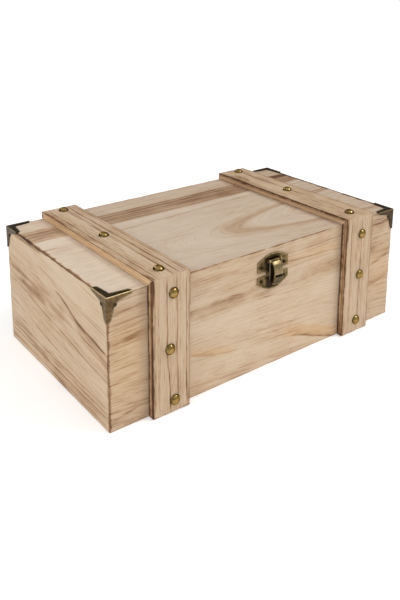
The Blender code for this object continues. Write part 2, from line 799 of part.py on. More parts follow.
def leaf_mesh(name, up, knuckles):
    """A hinge leaf about the hinge's axis. It reaches up (1) or down (-1) from its knuckles."""
    radius = HINGE_KNUCKLE / 2
    near = radius + FIT_GAP
    rear, front = -radius, -radius + HINGE_LEAF
    half = HINGE_WIDTH / 2
    heights = sorted((up * near, up * HINGE_LEAF_REACH))
    plate = box_tool("leaf", Vector((-half, rear, heights[0])), Vector((half, front, heights[1])))
    joined = []
    for start, end in knuckles:
        tongue = sorted((0, up * (near + HINGE_LEAF)))
        joined.append(
            box_tool("tongue", Vector((start, rear, tongue[0])), Vector((end, front, tongue[1])))
        )
        middle = Vector(((start + end) / 2, 0, 0))
        joined.append(rod_tool("knuckle", HINGE_KNUCKLE, end - start, RIGHTWARD, middle))
    if up > 0:
        joined.append(stop_tab(*knuckles[0]))
    hole = HINGE_PIN + 2 * FIT_GAP
    pin_hole = rod_tool("pin_hole", hole, HINGE_WIDTH + 2 * OVERRUN, RIGHTWARD, Vector())
    return combined_mesh(name, plate, joined, [pin_hole])


def stop_tab(start, end):
    """The lid leaf's tail, which lies flat against the base leaf once the lid has swung open."""
    inner = -HINGE_KNUCKLE / 2 + HINGE_LEAF + FIT_GAP
    low = Vector((start, inner, -HINGE_STOP_REACH))
    high = Vector((end, inner + HINGE_LEAF, -HINGE_PIN / 2 - FIT_GAP))
    tab = box_tool("stop_tab", low, high)
    tab.matrix_world = Matrix.Rotation(LID_SWING, 4, "X") @ tab.matrix_world
    return tab


def build_hinges(pivot):
    half, centre = HINGE_WIDTH / 2, HINGE_CENTRE_KNUCKLE / 2
    outer_knuckles = ((-half, -centre - FIT_GAP), (centre + FIT_GAP, half))
    base_leaf = leaf_mesh("hinge_base_leaf", -1, outer_knuckles)
    lid_leaf = leaf_mesh("hinge_lid_leaf", 1, ((-centre, centre),))
    pin = rod_mesh("hinge_pin", HINGE_PIN, HINGE_WIDTH + 2 * HINGE_PIN_END, SMALL_FACETS)
    length = FIT_GAP + FIT_GAP + HINGE_LEAF + HINGE_NAIL_BITE
    hole = HINGE_NAIL_SHANK + 2 * FIT_GAP
    nail = nail_mesh(
        "hinge_nail",
        HINGE_NAIL_HEAD,
        HINGE_NAIL_DOME,
        HINGE_NAIL_RIM,
        HINGE_NAIL_SHANK,
        length,
    )
    for name, side in (("left", -1), ("right", 1)):
        axis = HINGE_AXIS + RIGHTWARD * side * (END_X - HINGE_MARGIN)
        add_piece(f"hinge_{name}_base_leaf", base_leaf.copy(), axis, HINGE_BRONZE)
        add_piece(f"hinge_{name}_lid_leaf", lid_leaf.copy(), axis, HINGE_BRONZE, pivot)
        turned_pin = add_piece(f"hinge_{name}_pin", pin, axis, PIN_STEEL)
        turned_pin.rotation_euler = turned_towards(RIGHTWARD).to_euler()
        for level, up, wall, carrier in (
            ("lid", 1, "lid_back_rail", pivot),
            ("base", -1, "base_back_panel", None),
        ):
            for spot, along in (("outer", side), ("inner", -side)):
                across = axis.x + along * HINGE_NAIL_SPACING / 2
                stand = FACE_Y + FIT_GAP + HINGE_LEAF + FIT_GAP
                place = Vector((across, stand, axis.z + up * HINGE_NAIL_REACH))
                drive_nail(
                    f"hinge_{name}_nail_{level}_{spot}",
                    nail,
                    place,
                    BACKWARD,
                    length,
                    hole,
                    (f"hinge_{name}_{level}_leaf", wall),
                    HINGE_BRONZE,
                    SMALL_FACETS,
                    carrier,
                )


def build_chest():
    lid_pivot = add_pivot("lid_pivot", HINGE_AXIS)
    flap_pivot = add_pivot("latch_flap_pivot", FLAP_AXIS, lid_pivot)
    build_base()
    build_lid(lid_pivot)
    for side in ("left", "right"):
        build_straps(side, lid_pivot)
        build_strap_nails(side, lid_pivot)
    build_brackets(lid_pivot)
    build_latch_plates(lid_pivot)
    build_flap(flap_pivot)
    build_latch_nails(lid_pivot)
    build_hinges(lid_pivot)


build_chest()
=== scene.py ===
"""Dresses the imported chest: fine boards, straps, nails and fittings, their materials, and a studio."""

import json
import math
import random

import bmesh
import bpy
from mathutils import Matrix, Vector, noise


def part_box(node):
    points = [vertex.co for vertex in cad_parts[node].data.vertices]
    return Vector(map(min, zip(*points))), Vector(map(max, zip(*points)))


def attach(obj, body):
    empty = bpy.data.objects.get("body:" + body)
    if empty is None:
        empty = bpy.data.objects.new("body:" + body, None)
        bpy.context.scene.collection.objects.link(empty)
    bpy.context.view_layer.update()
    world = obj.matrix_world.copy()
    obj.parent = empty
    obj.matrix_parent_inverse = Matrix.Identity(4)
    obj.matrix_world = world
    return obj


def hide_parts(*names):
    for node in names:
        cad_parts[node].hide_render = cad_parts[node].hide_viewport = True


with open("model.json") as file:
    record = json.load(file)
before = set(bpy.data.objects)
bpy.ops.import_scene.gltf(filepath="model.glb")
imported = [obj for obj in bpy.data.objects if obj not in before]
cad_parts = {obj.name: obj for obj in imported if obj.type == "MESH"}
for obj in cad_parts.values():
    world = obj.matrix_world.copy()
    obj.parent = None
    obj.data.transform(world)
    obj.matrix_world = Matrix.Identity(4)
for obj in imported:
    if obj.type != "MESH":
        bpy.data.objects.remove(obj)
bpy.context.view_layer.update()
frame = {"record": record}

MM = 0.001
X, Y, Z = range(3)
AXES = (Vector((1, 0, 0)), Vector((0, 1, 0)), Vector((0, 0, 1)))
RIGHTWARD, BACKWARD, UPWARD = AXES
FORWARD = -BACKWARD

# The box, as in the CAD, in millimetres
END_X = 175.0
FACE_Y = 97.0
TOP_Z = 119.0
SEAM_Z = 93.6
STRAP_TOP_Z = 126.3
STRAP_FRONT_Y = -104.3
STRAP_SIDES = {"left": (-137.3, -98.8), "right": (95.2, 133.7)}
FIT_GAP = 0.3

record = frame["record"]
BODIES = {node: body for body, nodes in record["behaviour"]["bodies"].items() for node in nodes}
random.seed(7)


# Putting pieces in place

def dress(node, mesh, *materials):
    """Puts a fine mesh in the world's frame in place of a CAD node."""
    piece = bpy.data.objects.new(node + "_fine", mesh)
    bpy.context.scene.collection.objects.link(piece)
    for material in materials:
        mesh.materials.append(material)
    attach(piece, BODIES[node])
    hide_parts(node)
    return piece


def mesh_from(name, shape, scale=1.0):
    bmesh.ops.scale(shape, vec=Vector((scale, scale, scale)), verts=shape.verts)
    bmesh.ops.recalc_face_normals(shape, faces=shape.faces)
    mesh = bpy.data.meshes.new(name)
    shape.to_mesh(mesh)
    shape.free()
    return mesh


def soften(piece, width, segments=3, by_weight=False, angle=30):
    bevel = piece.modifiers.new("rounded", "BEVEL")
    bevel.width = width
    bevel.segments = segments
    bevel.limit_method = "WEIGHT" if by_weight else "ANGLE"
    bevel.angle_limit = math.radians(angle)
    piece.data.shade_smooth()
    normals = piece.modifiers.new("flat_faces", "WEIGHTED_NORMAL")
    normals.keep_sharp = True
    return piece


def dress_shape(node, shape, materials, width=0.15):
    """Dresses a node with a shape that was made in millimetres."""
    piece = dress(node, mesh_from(node + "_fine", shape, MM), *materials)
    return soften(piece, width * MM, segments=2, angle=35)


# Shader nodes

WHITE = (1.0, 1.0, 1.0)
RAMP_FLOOR, RAMP_REACH = 0.1, 0.8


class Nodes:
    """Short calls that add nodes to a tree."""

    def __init__(self, tree):
        self.tree = tree

    def add(self, kind, **settings):
        node = self.tree.nodes.new("ShaderNode" + kind)
        for name, value in settings.items():
            setattr(node, name, value)
        return node

    def feed(self, socket, value):
        if isinstance(value, bpy.types.NodeSocket):
            self.tree.links.new(value, socket)
        else:
            socket.default_value = value

    def feed_all(self, sockets, values):
        for socket, value in zip(sockets, values):
            self.feed(socket, value)

    def math(self, operation, *values, clamp=False):
        node = self.add("Math", operation=operation, use_clamp=clamp)
        self.feed_all(node.inputs, values)
        return node.outputs[0]

    def chain(self, operation, values):
        total = values[0]
        for value in values[1:]:
            total = self.math(operation, total, value)
        return total

    def sum(self, *values):
        return self.chain("ADD", values)

    def times(self, *values):
        return self.chain("MULTIPLY", values)

    def most(self, *values):
        return self.chain("MAXIMUM", values)

    def less(self, first, second):
        return self.math("SUBTRACT", first, second)

    def line(self, value, slope, start):
        return self.math("MULTIPLY_ADD", value, slope, start)

    def length(self, first, second):
        return self.math("SQRT", self.sum(self.times(first, first), self.times(second, second)))

    def split(self, vector):
        node = self.add("SeparateXYZ")
        self.feed(node.inputs[0], vector)
        return node.outputs

    def vector(self, *axes):
        node = self.add("CombineXYZ")
        self.feed_all(node.inputs, axes)
        return node.outputs[0]

    def span(self, value, low, high, to_low=0.0, to_high=1.0):
        """Eases from to_low at low to to_high at high."""
        node = self.add("MapRange", interpolation_type="SMOOTHSTEP")
        self.feed_all(node.inputs, (value, low, high, to_low, to_high))
        return node.outputs["Result"]

    def noise(self, place, scale=1.0, detail=3.0, roughness=0.5, dimensions="3D"):
        node = self.add("TexNoise", noise_dimensions=dimensions)
        self.feed(node.inputs["W" if dimensions == "1D" else "Vector"], place)
        for name, value in (("Scale", scale), ("Detail", detail), ("Roughness", roughness)):
            node.inputs[name].default_value = value
        return node.outputs["Fac"]

    def ramp(self, value, stops, smooth=False):
        """A ramp of grey levels or colours at places from 0 to 1."""
        node = self.add("ValToRGB")
        if smooth:
            node.color_ramp.interpolation = "CARDINAL"
        elements = node.color_ramp.elements
        while len(elements) < len(stops):
            elements.new(0.5)
        for element, (place, colour) in zip(elements, stops):
            element.position = place
            element.color = (*colour, 1.0) if isinstance(colour, tuple) else (colour,) * 3 + (1.0,)
        self.feed(node.inputs["Fac"], value)
        return node.outputs["Color"]

    def curve(self, value, points, smooth=True):
        """The value of a line through points, given as (place, value), both in millimetres."""
        first, last = points[0][0], points[-1][0]
        low = min(level for _, level in points)
        reach = max(max(level for _, level in points) - low, 1.0)
        place = self.math("DIVIDE", self.less(value, first), last - first, clamp=True)
        stops = []
        for x, y in points:
            stops.append(((x - first) / (last - first), RAMP_FLOOR + RAMP_REACH * (y - low) / reach))
        shade = self.ramp(place, stops, smooth)
        return self.line(shade, reach / RAMP_REACH, low - RAMP_FLOOR * reach / RAMP_REACH)

    def percent(self, value, points, share=0.01):
        """The value of straight lines through points whose values are percentages."""
        return self.times(self.curve(value, points, smooth=False), share)

    def blend(self, factor, first, second, kind="MIX"):
        node = self.add("Mix", data_type="RGBA", blend_type=kind)
        self.feed(node.inputs[0], factor)
        for socket, value in ((node.inputs[6], first), (node.inputs[7], second)):
            self.feed(socket, (*value, 1.0) if isinstance(value, tuple) else value)
        return node.outputs[2]


class Shade(Nodes):
    """A material whose nodes go by the place in millimetres."""

    def __init__(self, name):
        self.material = bpy.data.materials.new(name)
        self.material.use_nodes = True
        super().__init__(self.material.node_tree)
        self.shader = self.tree.nodes["Principled BSDF"]
        scaled = self.add("VectorMath", operation="SCALE")
        self.feed(scaled.inputs[0], self.add("TexCoord").outputs["Object"])
        scaled.inputs["Scale"].default_value = 1 / MM
        self.place = scaled.outputs[0]
        self.axis = self.split(self.place)

    def look(self, sockets):
        """Sets or links the shader's own sockets."""
        for name, value in sockets.items():
            self.feed(self.shader.inputs[name], value)

    def bump(self, height, distance, strength):
        node = self.add("Bump")
        self.feed(node.inputs["Height"], height)
        node.inputs["Distance"].default_value = distance
        node.inputs["Strength"].default_value = strength
        self.look({"Normal": node.outputs["Normal"]})


# Wood

PALE = (0.62, 0.49, 0.352)
TAN = (0.5, 0.35, 0.222)
BROWN = (0.255, 0.138, 0.068)
SCORCH = (0.065, 0.03, 0.013)
RAW = (0.66, 0.52, 0.37)
GLOW = (1.0, 0.84, 0.64)
WOOD_RELIEF, RELIEF_STRENGTH, WOOD_GLOSS = 0.22 * MM, 0.8, 0.18
WOOD_SHEEN = (0.0, 1.0, 0.60, 0.74)
INSIDE_DEPTHS = (6.0, 7.6)
SEED_STEP = 31.0
# Fine unbroken lines: scale, detail and roughness, and where they count from and to
THREADS = (0.42, 5.0, 0.62, "1D"), (0.42, 0.74)
# The same for noise that is drawn out: its scales along and across the grain come first
LAYERS = {
    "strokes": ((0.055, 0.85, 4.0, 0.6), (0.46, 0.74)),
    "pores": ((0.14, 2.6, 2.0), (0.50, 0.74)),
    "patch": ((0.012, 0.05, 2.0), (0.34, 0.68)),
    "broken": ((0.035, 0.10, 2.0), (0.34, 0.66)),
    "blush": ((0.018, 0.05), (0.40, 0.70, 0.0, 0.8)),
}
DRIFT, WOBBLE, BEND = (0.006, 0.02), (0.03, 0.03), (0.035, 0.02)
MARK_BEND, MARK_FADE, MARK_OVERLAP = 3.0, 10.0, 2
RAGGED_SCALE, RAGGED = 0.10, (0.32, 0.70, 0.6, 1.4)
SCORCH_FADE = (0.25, 1.0, 1.0, 0.0)


class Wood(Shade):
    """Pale wood whose grain a flame has browned."""

    def __init__(self, name, grain):
        super().__init__(name)
        self.grain = grain
        self.along, self.across, self.depth = [self.axis[axis] for axis in grain["axes"]]
        seed = grain["seed"] * SEED_STEP
        self.seeded = self.sum(self.depth, seed)
        drift = self.texture(self.across, *DRIFT)
        drift = self.times(self.less(drift, 0.5), grain["waver"])
        level = self.line(self.along, -grain["tilt"], self.across)
        if "lean" in grain:
            level = self.line(self.depth, grain["lean"], level)
        if "fan" in grain:
            place, amount = grain["fan"]
            below = self.most(self.less(place, self.across), 0.0)
            level = self.sum(level, self.times(self.along, below, amount / place))
        self.straight = self.level = self.sum(level, drift)
        if "arch" in grain:
            self.level = self.arched(grain["arch"])
        self.fine = self.threads(self.sum(self.level, seed))
        self.strokes, self.pores, self.patch, self.broken = [
            self.layer(name, self.level) for name in ("strokes", "pores", "patch", "broken")
        ]

    def texture(self, across, along_scale, across_scale, detail=3.0, roughness=0.5):
        """Noise that is drawn out along the grain."""
        scaled = ((self.along, along_scale), (across, across_scale), (self.seeded, across_scale))
        place = self.vector(*[self.times(value, scale) for value, scale in scaled])
        return self.noise(place, detail=detail, roughness=roughness)

    def threads(self, level):
        shape, limits = THREADS
        return self.span(self.noise(level, *shape), *limits)

    def layer(self, name, level):
        shape, limits = LAYERS[name]
        return self.span(self.texture(level, *shape), *limits)

    def arched(self, arch):
        """Turns the straight grain into nested arches below the arch's upper limit."""
        off = self.less(self.across, arch["centre"])
        height = self.line(self.along, arch["slope"], arch["height"])
        height = self.line(self.texture(self.across, *WOBBLE), arch["wobble"], height)
        self.rings = self.length(off, height)
        inside = self.sum(self.rings, arch["offset"])
        above = self.span(self.across, *arch["limits"])
        share = self.most(above, self.span(self.along, *arch["ends"], 1.0, 0.0))
        inside = self.times(inside, self.less(1.0, share))
        return self.sum(inside, self.times(self.level, share))

    def mark(self, points, width, strength, halo=0.0, halo_reach=3.5):
        """A dark line along the grain, soft at its ends, with a browner side if halo isn't 0."""
        (first, low), (last, high) = points[0], points[-1]
        if len(points) == 2:
            slope = (high - low) / (last - first)
            middle = self.line(self.along, slope, low - slope * first)
        else:
            middle = self.curve(self.along, points)
        bend = self.line(self.texture(self.across, *BEND), MARK_BEND, -MARK_BEND / 2)
        off = self.sum(self.less(self.across, middle), bend)
        line = self.span(self.math("ABSOLUTE", off), 0.2 * width, width, 1.0, 0.0)
        if halo:
            rising, falling = ((0, 1), (1, 0)) if halo > 0 else ((1, 0), (0, 1))
            reach = math.copysign(halo_reach * width, halo)
            side = self.span(off, min(reach, 0.0), max(reach, 0.0), *falling)
            on_side = self.span(off, -0.6 * width, 0.6 * width, *rising)
            line = self.most(line, self.times(side, on_side, abs(halo)))
        fade = min(MARK_FADE, 0.25 * (last - first))
        line = self.times(line, self.span(self.along, first - MARK_OVERLAP, first + fade))
        line = self.times(line, self.span(self.along, last - fade, last + MARK_OVERLAP, 1.0, 0.0))
        return self.times(line, self.line(self.strokes, 0.5, 0.72), strength)

    def inward(self, plane):
        axis, place, side = plane
        return self.times(self.less(self.axis[axis], place), -side)

    def scorched(self, arrises):
        """How far the arrises have darkened. Each is two planes, a strength and a reach."""
        ragged = self.span(self.noise(self.place, RAGGED_SCALE), *RAGGED)
        marks = []
        for first, second, strength, reach in arrises:
            off = self.length(self.inward(first), self.inward(second))
            off = self.math("DIVIDE", off, self.times(ragged, reach))
            marks.append(self.times(self.span(off, *SCORCH_FADE), strength))
        return self.most(*marks)

    def finish(self, brownness, tint=WHITE, inside=None, glow=None, pale=None):
        colour = self.ramp(brownness, [(0.0, PALE), (0.30, TAN), (0.64, BROWN), (1.0, SCORCH)])
        blush = self.layer("blush", self.across)
        colour = self.blend(blush, colour, self.grain["blush"], "MULTIPLY")
        colour = self.blend(self.span(brownness, 0.12, 0.5, 1.0, 0.25), colour, tint, "MULTIPLY")
        if pale is not None:
            colour = self.blend(1.0, colour, self.percent(self.along, pale), "MULTIPLY")
        if glow is not None:
            colour = self.blend(glow, colour, GLOW, "MULTIPLY")
        if inside is not None:
            lines, dashes = self.fine, self.strokes
            if "arch" in self.grain:
                lines, dashes = self.threads(self.straight), self.layer("strokes", self.straight)
            plain = self.sum(self.times(lines, 0.35), self.times(dashes, 0.3))
            colour = self.blend(inside, colour, self.ramp(plain, [(0.0, RAW), (1.0, TAN)]))
        sheen = self.span(self.strokes, *WOOD_SHEEN)
        self.look({"Base Color": colour, "Roughness": sheen, "Specular IOR Level": WOOD_GLOSS})
        grooves = ((self.strokes, -0.45), (self.pores, -0.55), (self.fine, -0.35))
        relief = self.sum(*[self.times(groove, depth) for groove, depth in grooves])
        self.bump(relief, WOOD_RELIEF, RELIEF_STRENGTH)
        return self.material


def read_mark(row):
    """A mark's row starts with its two ends, or with a tuple of its points if it has more."""
    return row if isinstance(row[0], tuple) else ((row[:2], row[2:4]), *row[4:])


def torched_wood(name, grain, arrises, marks=(), glows=(), tint=WHITE, hidden=True):
    s = Wood(name, grain)
    tones, dashes, contrast = grain["tones"], grain["dashes"], grain["contrast"]
    arch = grain.get("arch")
    tone = s.percent(s.across if arch else s.level, tones["points"])
    tone = s.times(tone, s.span(s.broken, 0.0, 1.0, tones["least"], 1.1))
    if arch:
        below = s.span(s.across, *arch["limits"], 1.0, 0.0)
        ring_tone = s.percent(s.rings, arch["tones"])
        tone = s.most(tone, s.times(ring_tone, below, s.span(s.along, *arch["fade"])))
    if "ends" in grain:
        tone = s.sum(tone, s.percent(s.along, grain["ends"]))
    if "bold" in grain:
        contrast = s.percent(s.along, grain["bold"], 0.01 * contrast)
    brownness = s.sum(
        tone,
        s.times(s.fine, s.line(s.broken, 0.16, 0.06), contrast),
        s.times(s.patch, s.line(s.strokes, 0.18 * dashes, 0.05), contrast),
        s.times(s.strokes, 0.10 * dashes, contrast),
        s.times(s.pores, 0.09),
    )
    if marks:
        brownness = s.sum(brownness, s.most(*[s.mark(*read_mark(row)) for row in marks]))
    brownness = s.math("ADD", brownness, s.scorched(arrises), clamp=True)
    inside = None
    if hidden:
        out_x, out_y = [
            s.less(half, s.math("ABSOLUTE", s.axis[axis])) for axis, half in ((X, END_X), (Y, FACE_Y))
        ]
        inside = s.span(s.chain("MINIMUM", (out_x, out_y, s.less(TOP_Z, s.axis[Z]))), *INSIDE_DEPTHS)
    glow = s.most(*[s.mark(*read_mark(row)) for row in glows]) if glows else None
    return s.finish(brownness, tint, inside, glow, grain.get("pale"))


LEFT, RIGHT = (X, -END_X, -1), (X, END_X, 1)
FRONT, BACK = (Y, -FACE_Y, -1), (Y, FACE_Y, 1)
TOP, BOTTOM = (Z, TOP_Z, 1), (Z, 0.0, -1)
BOX_ARRISES = [
    (LEFT, FRONT, 0.46, 2.6), (RIGHT, FRONT, 0.5, 1.4), (LEFT, BACK, 0.6, 1.8), (RIGHT, BACK, 0.6, 1.8),
    (LEFT, TOP, 0.74, 1.4), (RIGHT, TOP, 0.7, 2.2), (FRONT, TOP, 0.46, 1.1), (BACK, TOP, 0.6, 1.8),
    (LEFT, BOTTOM, 0.22, 1.2), (RIGHT, BOTTOM, 0.3, 1.4), (FRONT, BOTTOM, 0.25, 1.2),
    (BACK, BOTTOM, 0.3, 1.4),
]
# The top board's ends, where its end grain burnt more
TOP_ARRISES = BOX_ARRISES + [(RIGHT, TOP, 0.95, 5.0), (LEFT, TOP, 0.66, 3.4)]

FRONT_GRAIN = dict(
    axes=(X, Z, Y), seed=1, tilt=0.006, fan=(72.0, 0.13), waver=7.0,
    blush=(0.985, 0.945, 0.905), contrast=0.90, dashes=1.0,
    ends=[(-175, 2), (-139, 1), (-98, -2), (95, -2), (133, 4), (175, 7)],
    bold=[(-175, 150), (-139, 140), (-98, 105), (95, 105), (133, 140), (175, 140)],
    tones=dict(least=0.35, points=[
        (0, 16), (10, 10), (20, 4), (34, 8), (42, 4), (60, 1), (70, 2), (73, 18), (78, 22),
        (84, 19), (88, 6), (93, 10), (98, 9), (104, 14), (108, 18), (112, 10), (119, 14),
    ]),
)
TOP_GRAIN = dict(
    axes=(X, Y, Z), seed=2, tilt=0.0, waver=4.0, blush=(0.96, 0.93, 0.94), contrast=0.75, dashes=1.0,
    ends=[(-175, -5), (-139, -4), (-98, 1), (0, 3), (95, 4), (133, 5), (175, 7)],
    pale=[(-175, 115), (-139, 115), (-98, 102), (95, 101), (175, 98)],
    bold=[(-175, 110), (-139, 110), (-98, 55), (0, 65), (60, 100), (175, 120)],
    tones=dict(least=0.95, points=[
        (-97, 9), (-80, 7), (-60, 6), (-20, 6), (0, 7), (20, 6), (24, 6), (33, 1), (38, 3), (41, 30),
        (44, 38), (47, 30), (50, 42), (53, 46), (56, 34), (60, 48), (64, 36), (67, 44), (70, 18),
        (75, 10), (80, 16), (84, 10), (90, 16), (97, 20),
    ]),
    arch=dict(
        centre=-43.0, height=40.0, slope=-0.127, wobble=2.5, offset=-56.0, limits=(4.0, 24.0),
        ends=(-134.0, -102.0), fade=(-60.0, 10.0),
        tones=[
            (0, 2), (30, 2), (36, 3), (38.5, 8), (40, 30), (41.5, 33), (43.5, 18), (47, 9), (54, 7),
            (60, 8), (66, 6), (100, 6),
        ],
    ),
)
LEFT_GRAIN = dict(
    axes=(Y, Z, X), seed=3, tilt=0.12, fan=(45.0, 0.10), waver=7.0,
    blush=(0.985, 0.95, 0.90), contrast=1.20, dashes=0.6,
    tones=dict(least=0.4, points=[
        (-12, 16), (0, 18), (4, 26), (8, 12), (12, 26), (16, 14), (20, 24), (26, 8), (38, 5), (44, 12),
        (50, 8), (60, 16), (68, 20), (76, 22), (84, 12), (92, 6), (104, 1), (119, 2), (131, 6),
    ]),
)


front_wood = torched_wood(
    "front_wood", FRONT_GRAIN, BOX_ARRISES,
    marks=[
        (-175, 113, -140, 115, 1.2, 0.14), (-175, 101.5, -138, 106.5, 1.6, 0.24),
        (-175, 92, -140, 95, 0.9, 0.18), (-175, 86.5, -140, 90, 0.8, 0.28),
        (-175, 76.5, -142, 80.5, 3.2, 0.28), (-175, 72.5, -142, 75, 0.8, 0.3),
        (-175, 61, -142, 64, 0.9, 0.16), (-175, 53, -146, 56, 1.6, 0.2), (-175, 42, -146, 46, 2.4, 0.18),
        (-175, 30, -146, 33, 0.9, 0.14), (-172, 10, -144, 14, 1.8, 0.18), (-98, 81, -10, 82.5, 4.2, 0.2),
        (((-98, 73), (-50, 73.5), (10, 69), (95, 64)), 0.8, 0.2), (-98, 42, -62, 32, 2.4, 0.28),
        (-80, 36, -40, 28, 1, 0.14), (10, 107, 98, 108.5, 0.9, 0.22), (16, 103, 98, 105, 0.8, 0.2),
        (10, 99.5, 98, 95.5, 1.4, 0.28), (((28, 20), (60, 10), (100, -2)), 2, 0.56, 0.5),
        (-10, 8, 60, 3, 1.6, 0.18), (-50, 60, 60, 56, 1.2, 0.09), (-20, 40, 50, 34, 1.8, 0.12),
        (132, 38, 175, 46, 1.1, 0.4, 0.6, 9), (132, 62, 175, 71, 3, 0.24), (132, 90, 175, 94, 1, 0.24),
        (132, 80, 175, 86, 0.9, 0.2), (132, 106, 175, 110, 1.4, 0.2), (132, 18, 175, 23, 1, 0.16),
    ],
    glows=[
        (((16, 27), (60, 16), (100, 4)), 9, 0.9), (-98, 44, -40, 30, 6, 0.6),
        (-177, 60, -136, 60, 60, 0.6), (10, 100, 98, 99, 8, 0.5), (130, 56, 177, 60, 40, 0.45),
    ],
)
top_wood = torched_wood(
    "top_wood", TOP_GRAIN, TOP_ARRISES, tint=(1.0, 1.07, 1.19),
    marks=[
        (-175, 61, -138, 63, 0.9, 0.52), (-175, 54, -138, 56, 0.9, 0.48),
        (-175, 46.5, -138, 48, 0.9, 0.44), (-175, 41, -138, 42, 0.7, 0.24),
        (-175, 17, -158, 18, 1.8, 0.4), (-98, 67, 96, 68, 0.8, 0.28), (-98, 61, 96, 62.5, 0.9, 0.3),
        (-98, 54.5, 96, 55.5, 0.9, 0.3), (-98, 48.5, 96, 48, 0.8, 0.24), (-98, 42.5, 96, 42, 0.9, 0.3),
        (-98, 80, 96, 82, 0.7, 0.22), (-98, 74, 96, 75, 0.6, 0.18),
        (((-98, 22), (0, 25), (96, 29.5)), 1.6, 0.3), (-98, -68, -20, -74, 1.4, 0.14),
        (-98, -22, -30, -26, 2, 0.12), (-60, -86, 90, -88, 1, 0.12), (132, 29, 175, 30, 1.1, 0.38),
        (132, -3, 175, -2, 1.4, 0.44), (132, 62, 175, 62, 7, 0.36), (132, 76, 175, 76, 1, 0.32),
        (132, 48, 175, 47, 1, 0.32),
    ],
)
left_wood = torched_wood(
    "left_wood", LEFT_GRAIN, BOX_ARRISES,
    marks=[
        (
            ((-97, 68.5), (-78, 71.8), (-62, 73.8), (-46, 77), (-32, 83), (-18, 88), (-4, 90)),
            2, 0.64, -0.28, 4,
        ),
        (((-97, 44.5), (-30, 52.5), (30, 60.5), (97, 68.5)), 1.2, 0.38), (10, 69, 72, 74, 5, 0.28),
        (16, 79.5, 97, 81, 2.6, 0.24), (((-25, 30.5), (40, 38), (97, 45.5)), 0.9, 0.3),
        (-97, 20, 97, 22, 1, 0.34), (-97, 15.5, 97, 17, 0.9, 0.3), (-97, 11, 97, 12.5, 1.2, 0.38),
        (-97, 3.5, 97, 5.5, 1.1, 0.36), (-97, 84, -20, 93, 0.7, 0.14), (20, 88, 97, 94, 0.9, 0.2),
        (-97, 58, 0, 66, 0.9, 0.18), (-60, 38, 60, 46, 0.9, 0.18), (16, 117, 84, 116.5, 3.2, 0.5),
        (-97, 76, -30, 79.5, 0.8, 0.22), (-97, 62, -10, 70.5, 0.8, 0.2), (-97, 32, 40, 41, 0.8, 0.2),
        (-70, 26.5, 97, 30, 0.8, 0.22), (-40, 48, 97, 58, 0.8, 0.2),
    ],
)
right_wood = torched_wood(
    "right_wood", dict(LEFT_GRAIN, seed=5, tilt=-0.09), BOX_ARRISES,
    marks=[
        (-97, 84, 60, 66, 1, 0.46, 0.3), (-97, 52, 97, 34, 0.9, 0.34), (-97, 24, 97, 12, 1, 0.34),
        (-20, 112, 97, 104, 1, 0.34),
    ],
)
back_wood = torched_wood(
    "back_wood", dict(FRONT_GRAIN, seed=6, tilt=-0.02), BOX_ARRISES,
    marks=[
        (-160, 76, 40, 70, 1.1, 0.36), (-60, 108, 160, 104, 1, 0.34), (-30, 28, 165, 22, 1.6, 0.34),
    ],
    glows=[(-40, 32, 165, 26, 9, 0.6)],
)
BOTTOM_GRAIN = dict(
    axes=(X, Y, Z), seed=8, tilt=0.01, waver=5.0, blush=(0.98, 0.94, 0.90), contrast=0.7, dashes=0.8,
    tones=dict(least=0.4, points=[(-97, 12), (-40, 8), (-10, 13), (30, 8), (60, 14), (97, 10)]),
)
bottom_wood = torched_wood("bottom_wood", BOTTOM_GRAIN, [(LEFT, BOTTOM, 0.2, 1.5)], hidden=False)


FLANK_DEPTHS = (0.3, 0.9)


def strap_wood(side, upright, look):
    """Strap wood: its grain runs along the strap, and all its arrises are scorched."""
    left, right = STRAP_SIDES[side]
    width = right - left
    left_side, right_side = (X, left, -1), (X, right, 1)
    front, top = (Y, STRAP_FRONT_Y, -1), (Z, STRAP_TOP_Z, 1)
    if upright:
        axes, face, wall, end = (Z, X, Y), front, (Y, -FACE_Y, 1), BOTTOM
    else:
        axes, face, wall, end = (Y, X, Z), top, (Z, TOP_Z, -1), BACK
    arrises = [
        (left_side, face, *look["arris"]), (right_side, face, 0.30, 1.1),
        (left_side, wall, *look["wall"]), (right_side, wall, 0.60, 2.6),
        (top, front, 0.06, 1.0), (end, face, 0.45, 1.8), (left_side, end, 0.55, 3.0),
        (right_side, end, 0.4, 2.0),
    ]
    grain = dict(axes=axes, seed=look["seed"], tilt=0.0, waver=1.4, lean=1.0, blush=(0.97, 0.93, 0.88))
    tones = [(left + face[1] + width * share, tone) for share, tone in look["tones"]]
    marks = [
        ([(along, left + width * share) for along, share in points], *rest)
        for points, *rest in map(read_mark, look["marks"])
    ]
    s = Wood(f"strap_wood_{side}_{'front' if upright else 'top'}", grain)
    tone = s.times(s.percent(s.level, tones), s.span(s.broken, 0.0, 1.0, 0.6, 1.15))
    on_left, on_right = [
        s.span(s.inward(plane), *FLANK_DEPTHS, 1.0, 0.0) for plane in (left_side, right_side)
    ]
    off_side = s.less(1.0, on_left)
    brownness = s.sum(
        s.times(tone, off_side),
        s.times(s.fine, s.line(s.broken, 0.16, 0.08)),
        s.times(s.patch, s.line(s.strokes, 0.20, 0.05)),
        s.times(s.strokes, 0.14),
        s.times(s.pores, 0.12),
        s.times(off_side, s.most(*[s.mark(*mark) for mark in marks])),
        s.times(on_left, look["flank"]),
        s.times(on_left, s.fine, 0.30),
        s.times(on_right, 0.14),
    )
    brownness = s.math("ADD", brownness, s.scorched(arrises), clamp=True)
    return s.finish(brownness, s.blend(on_left, look["tint"], look["flank_tint"]))


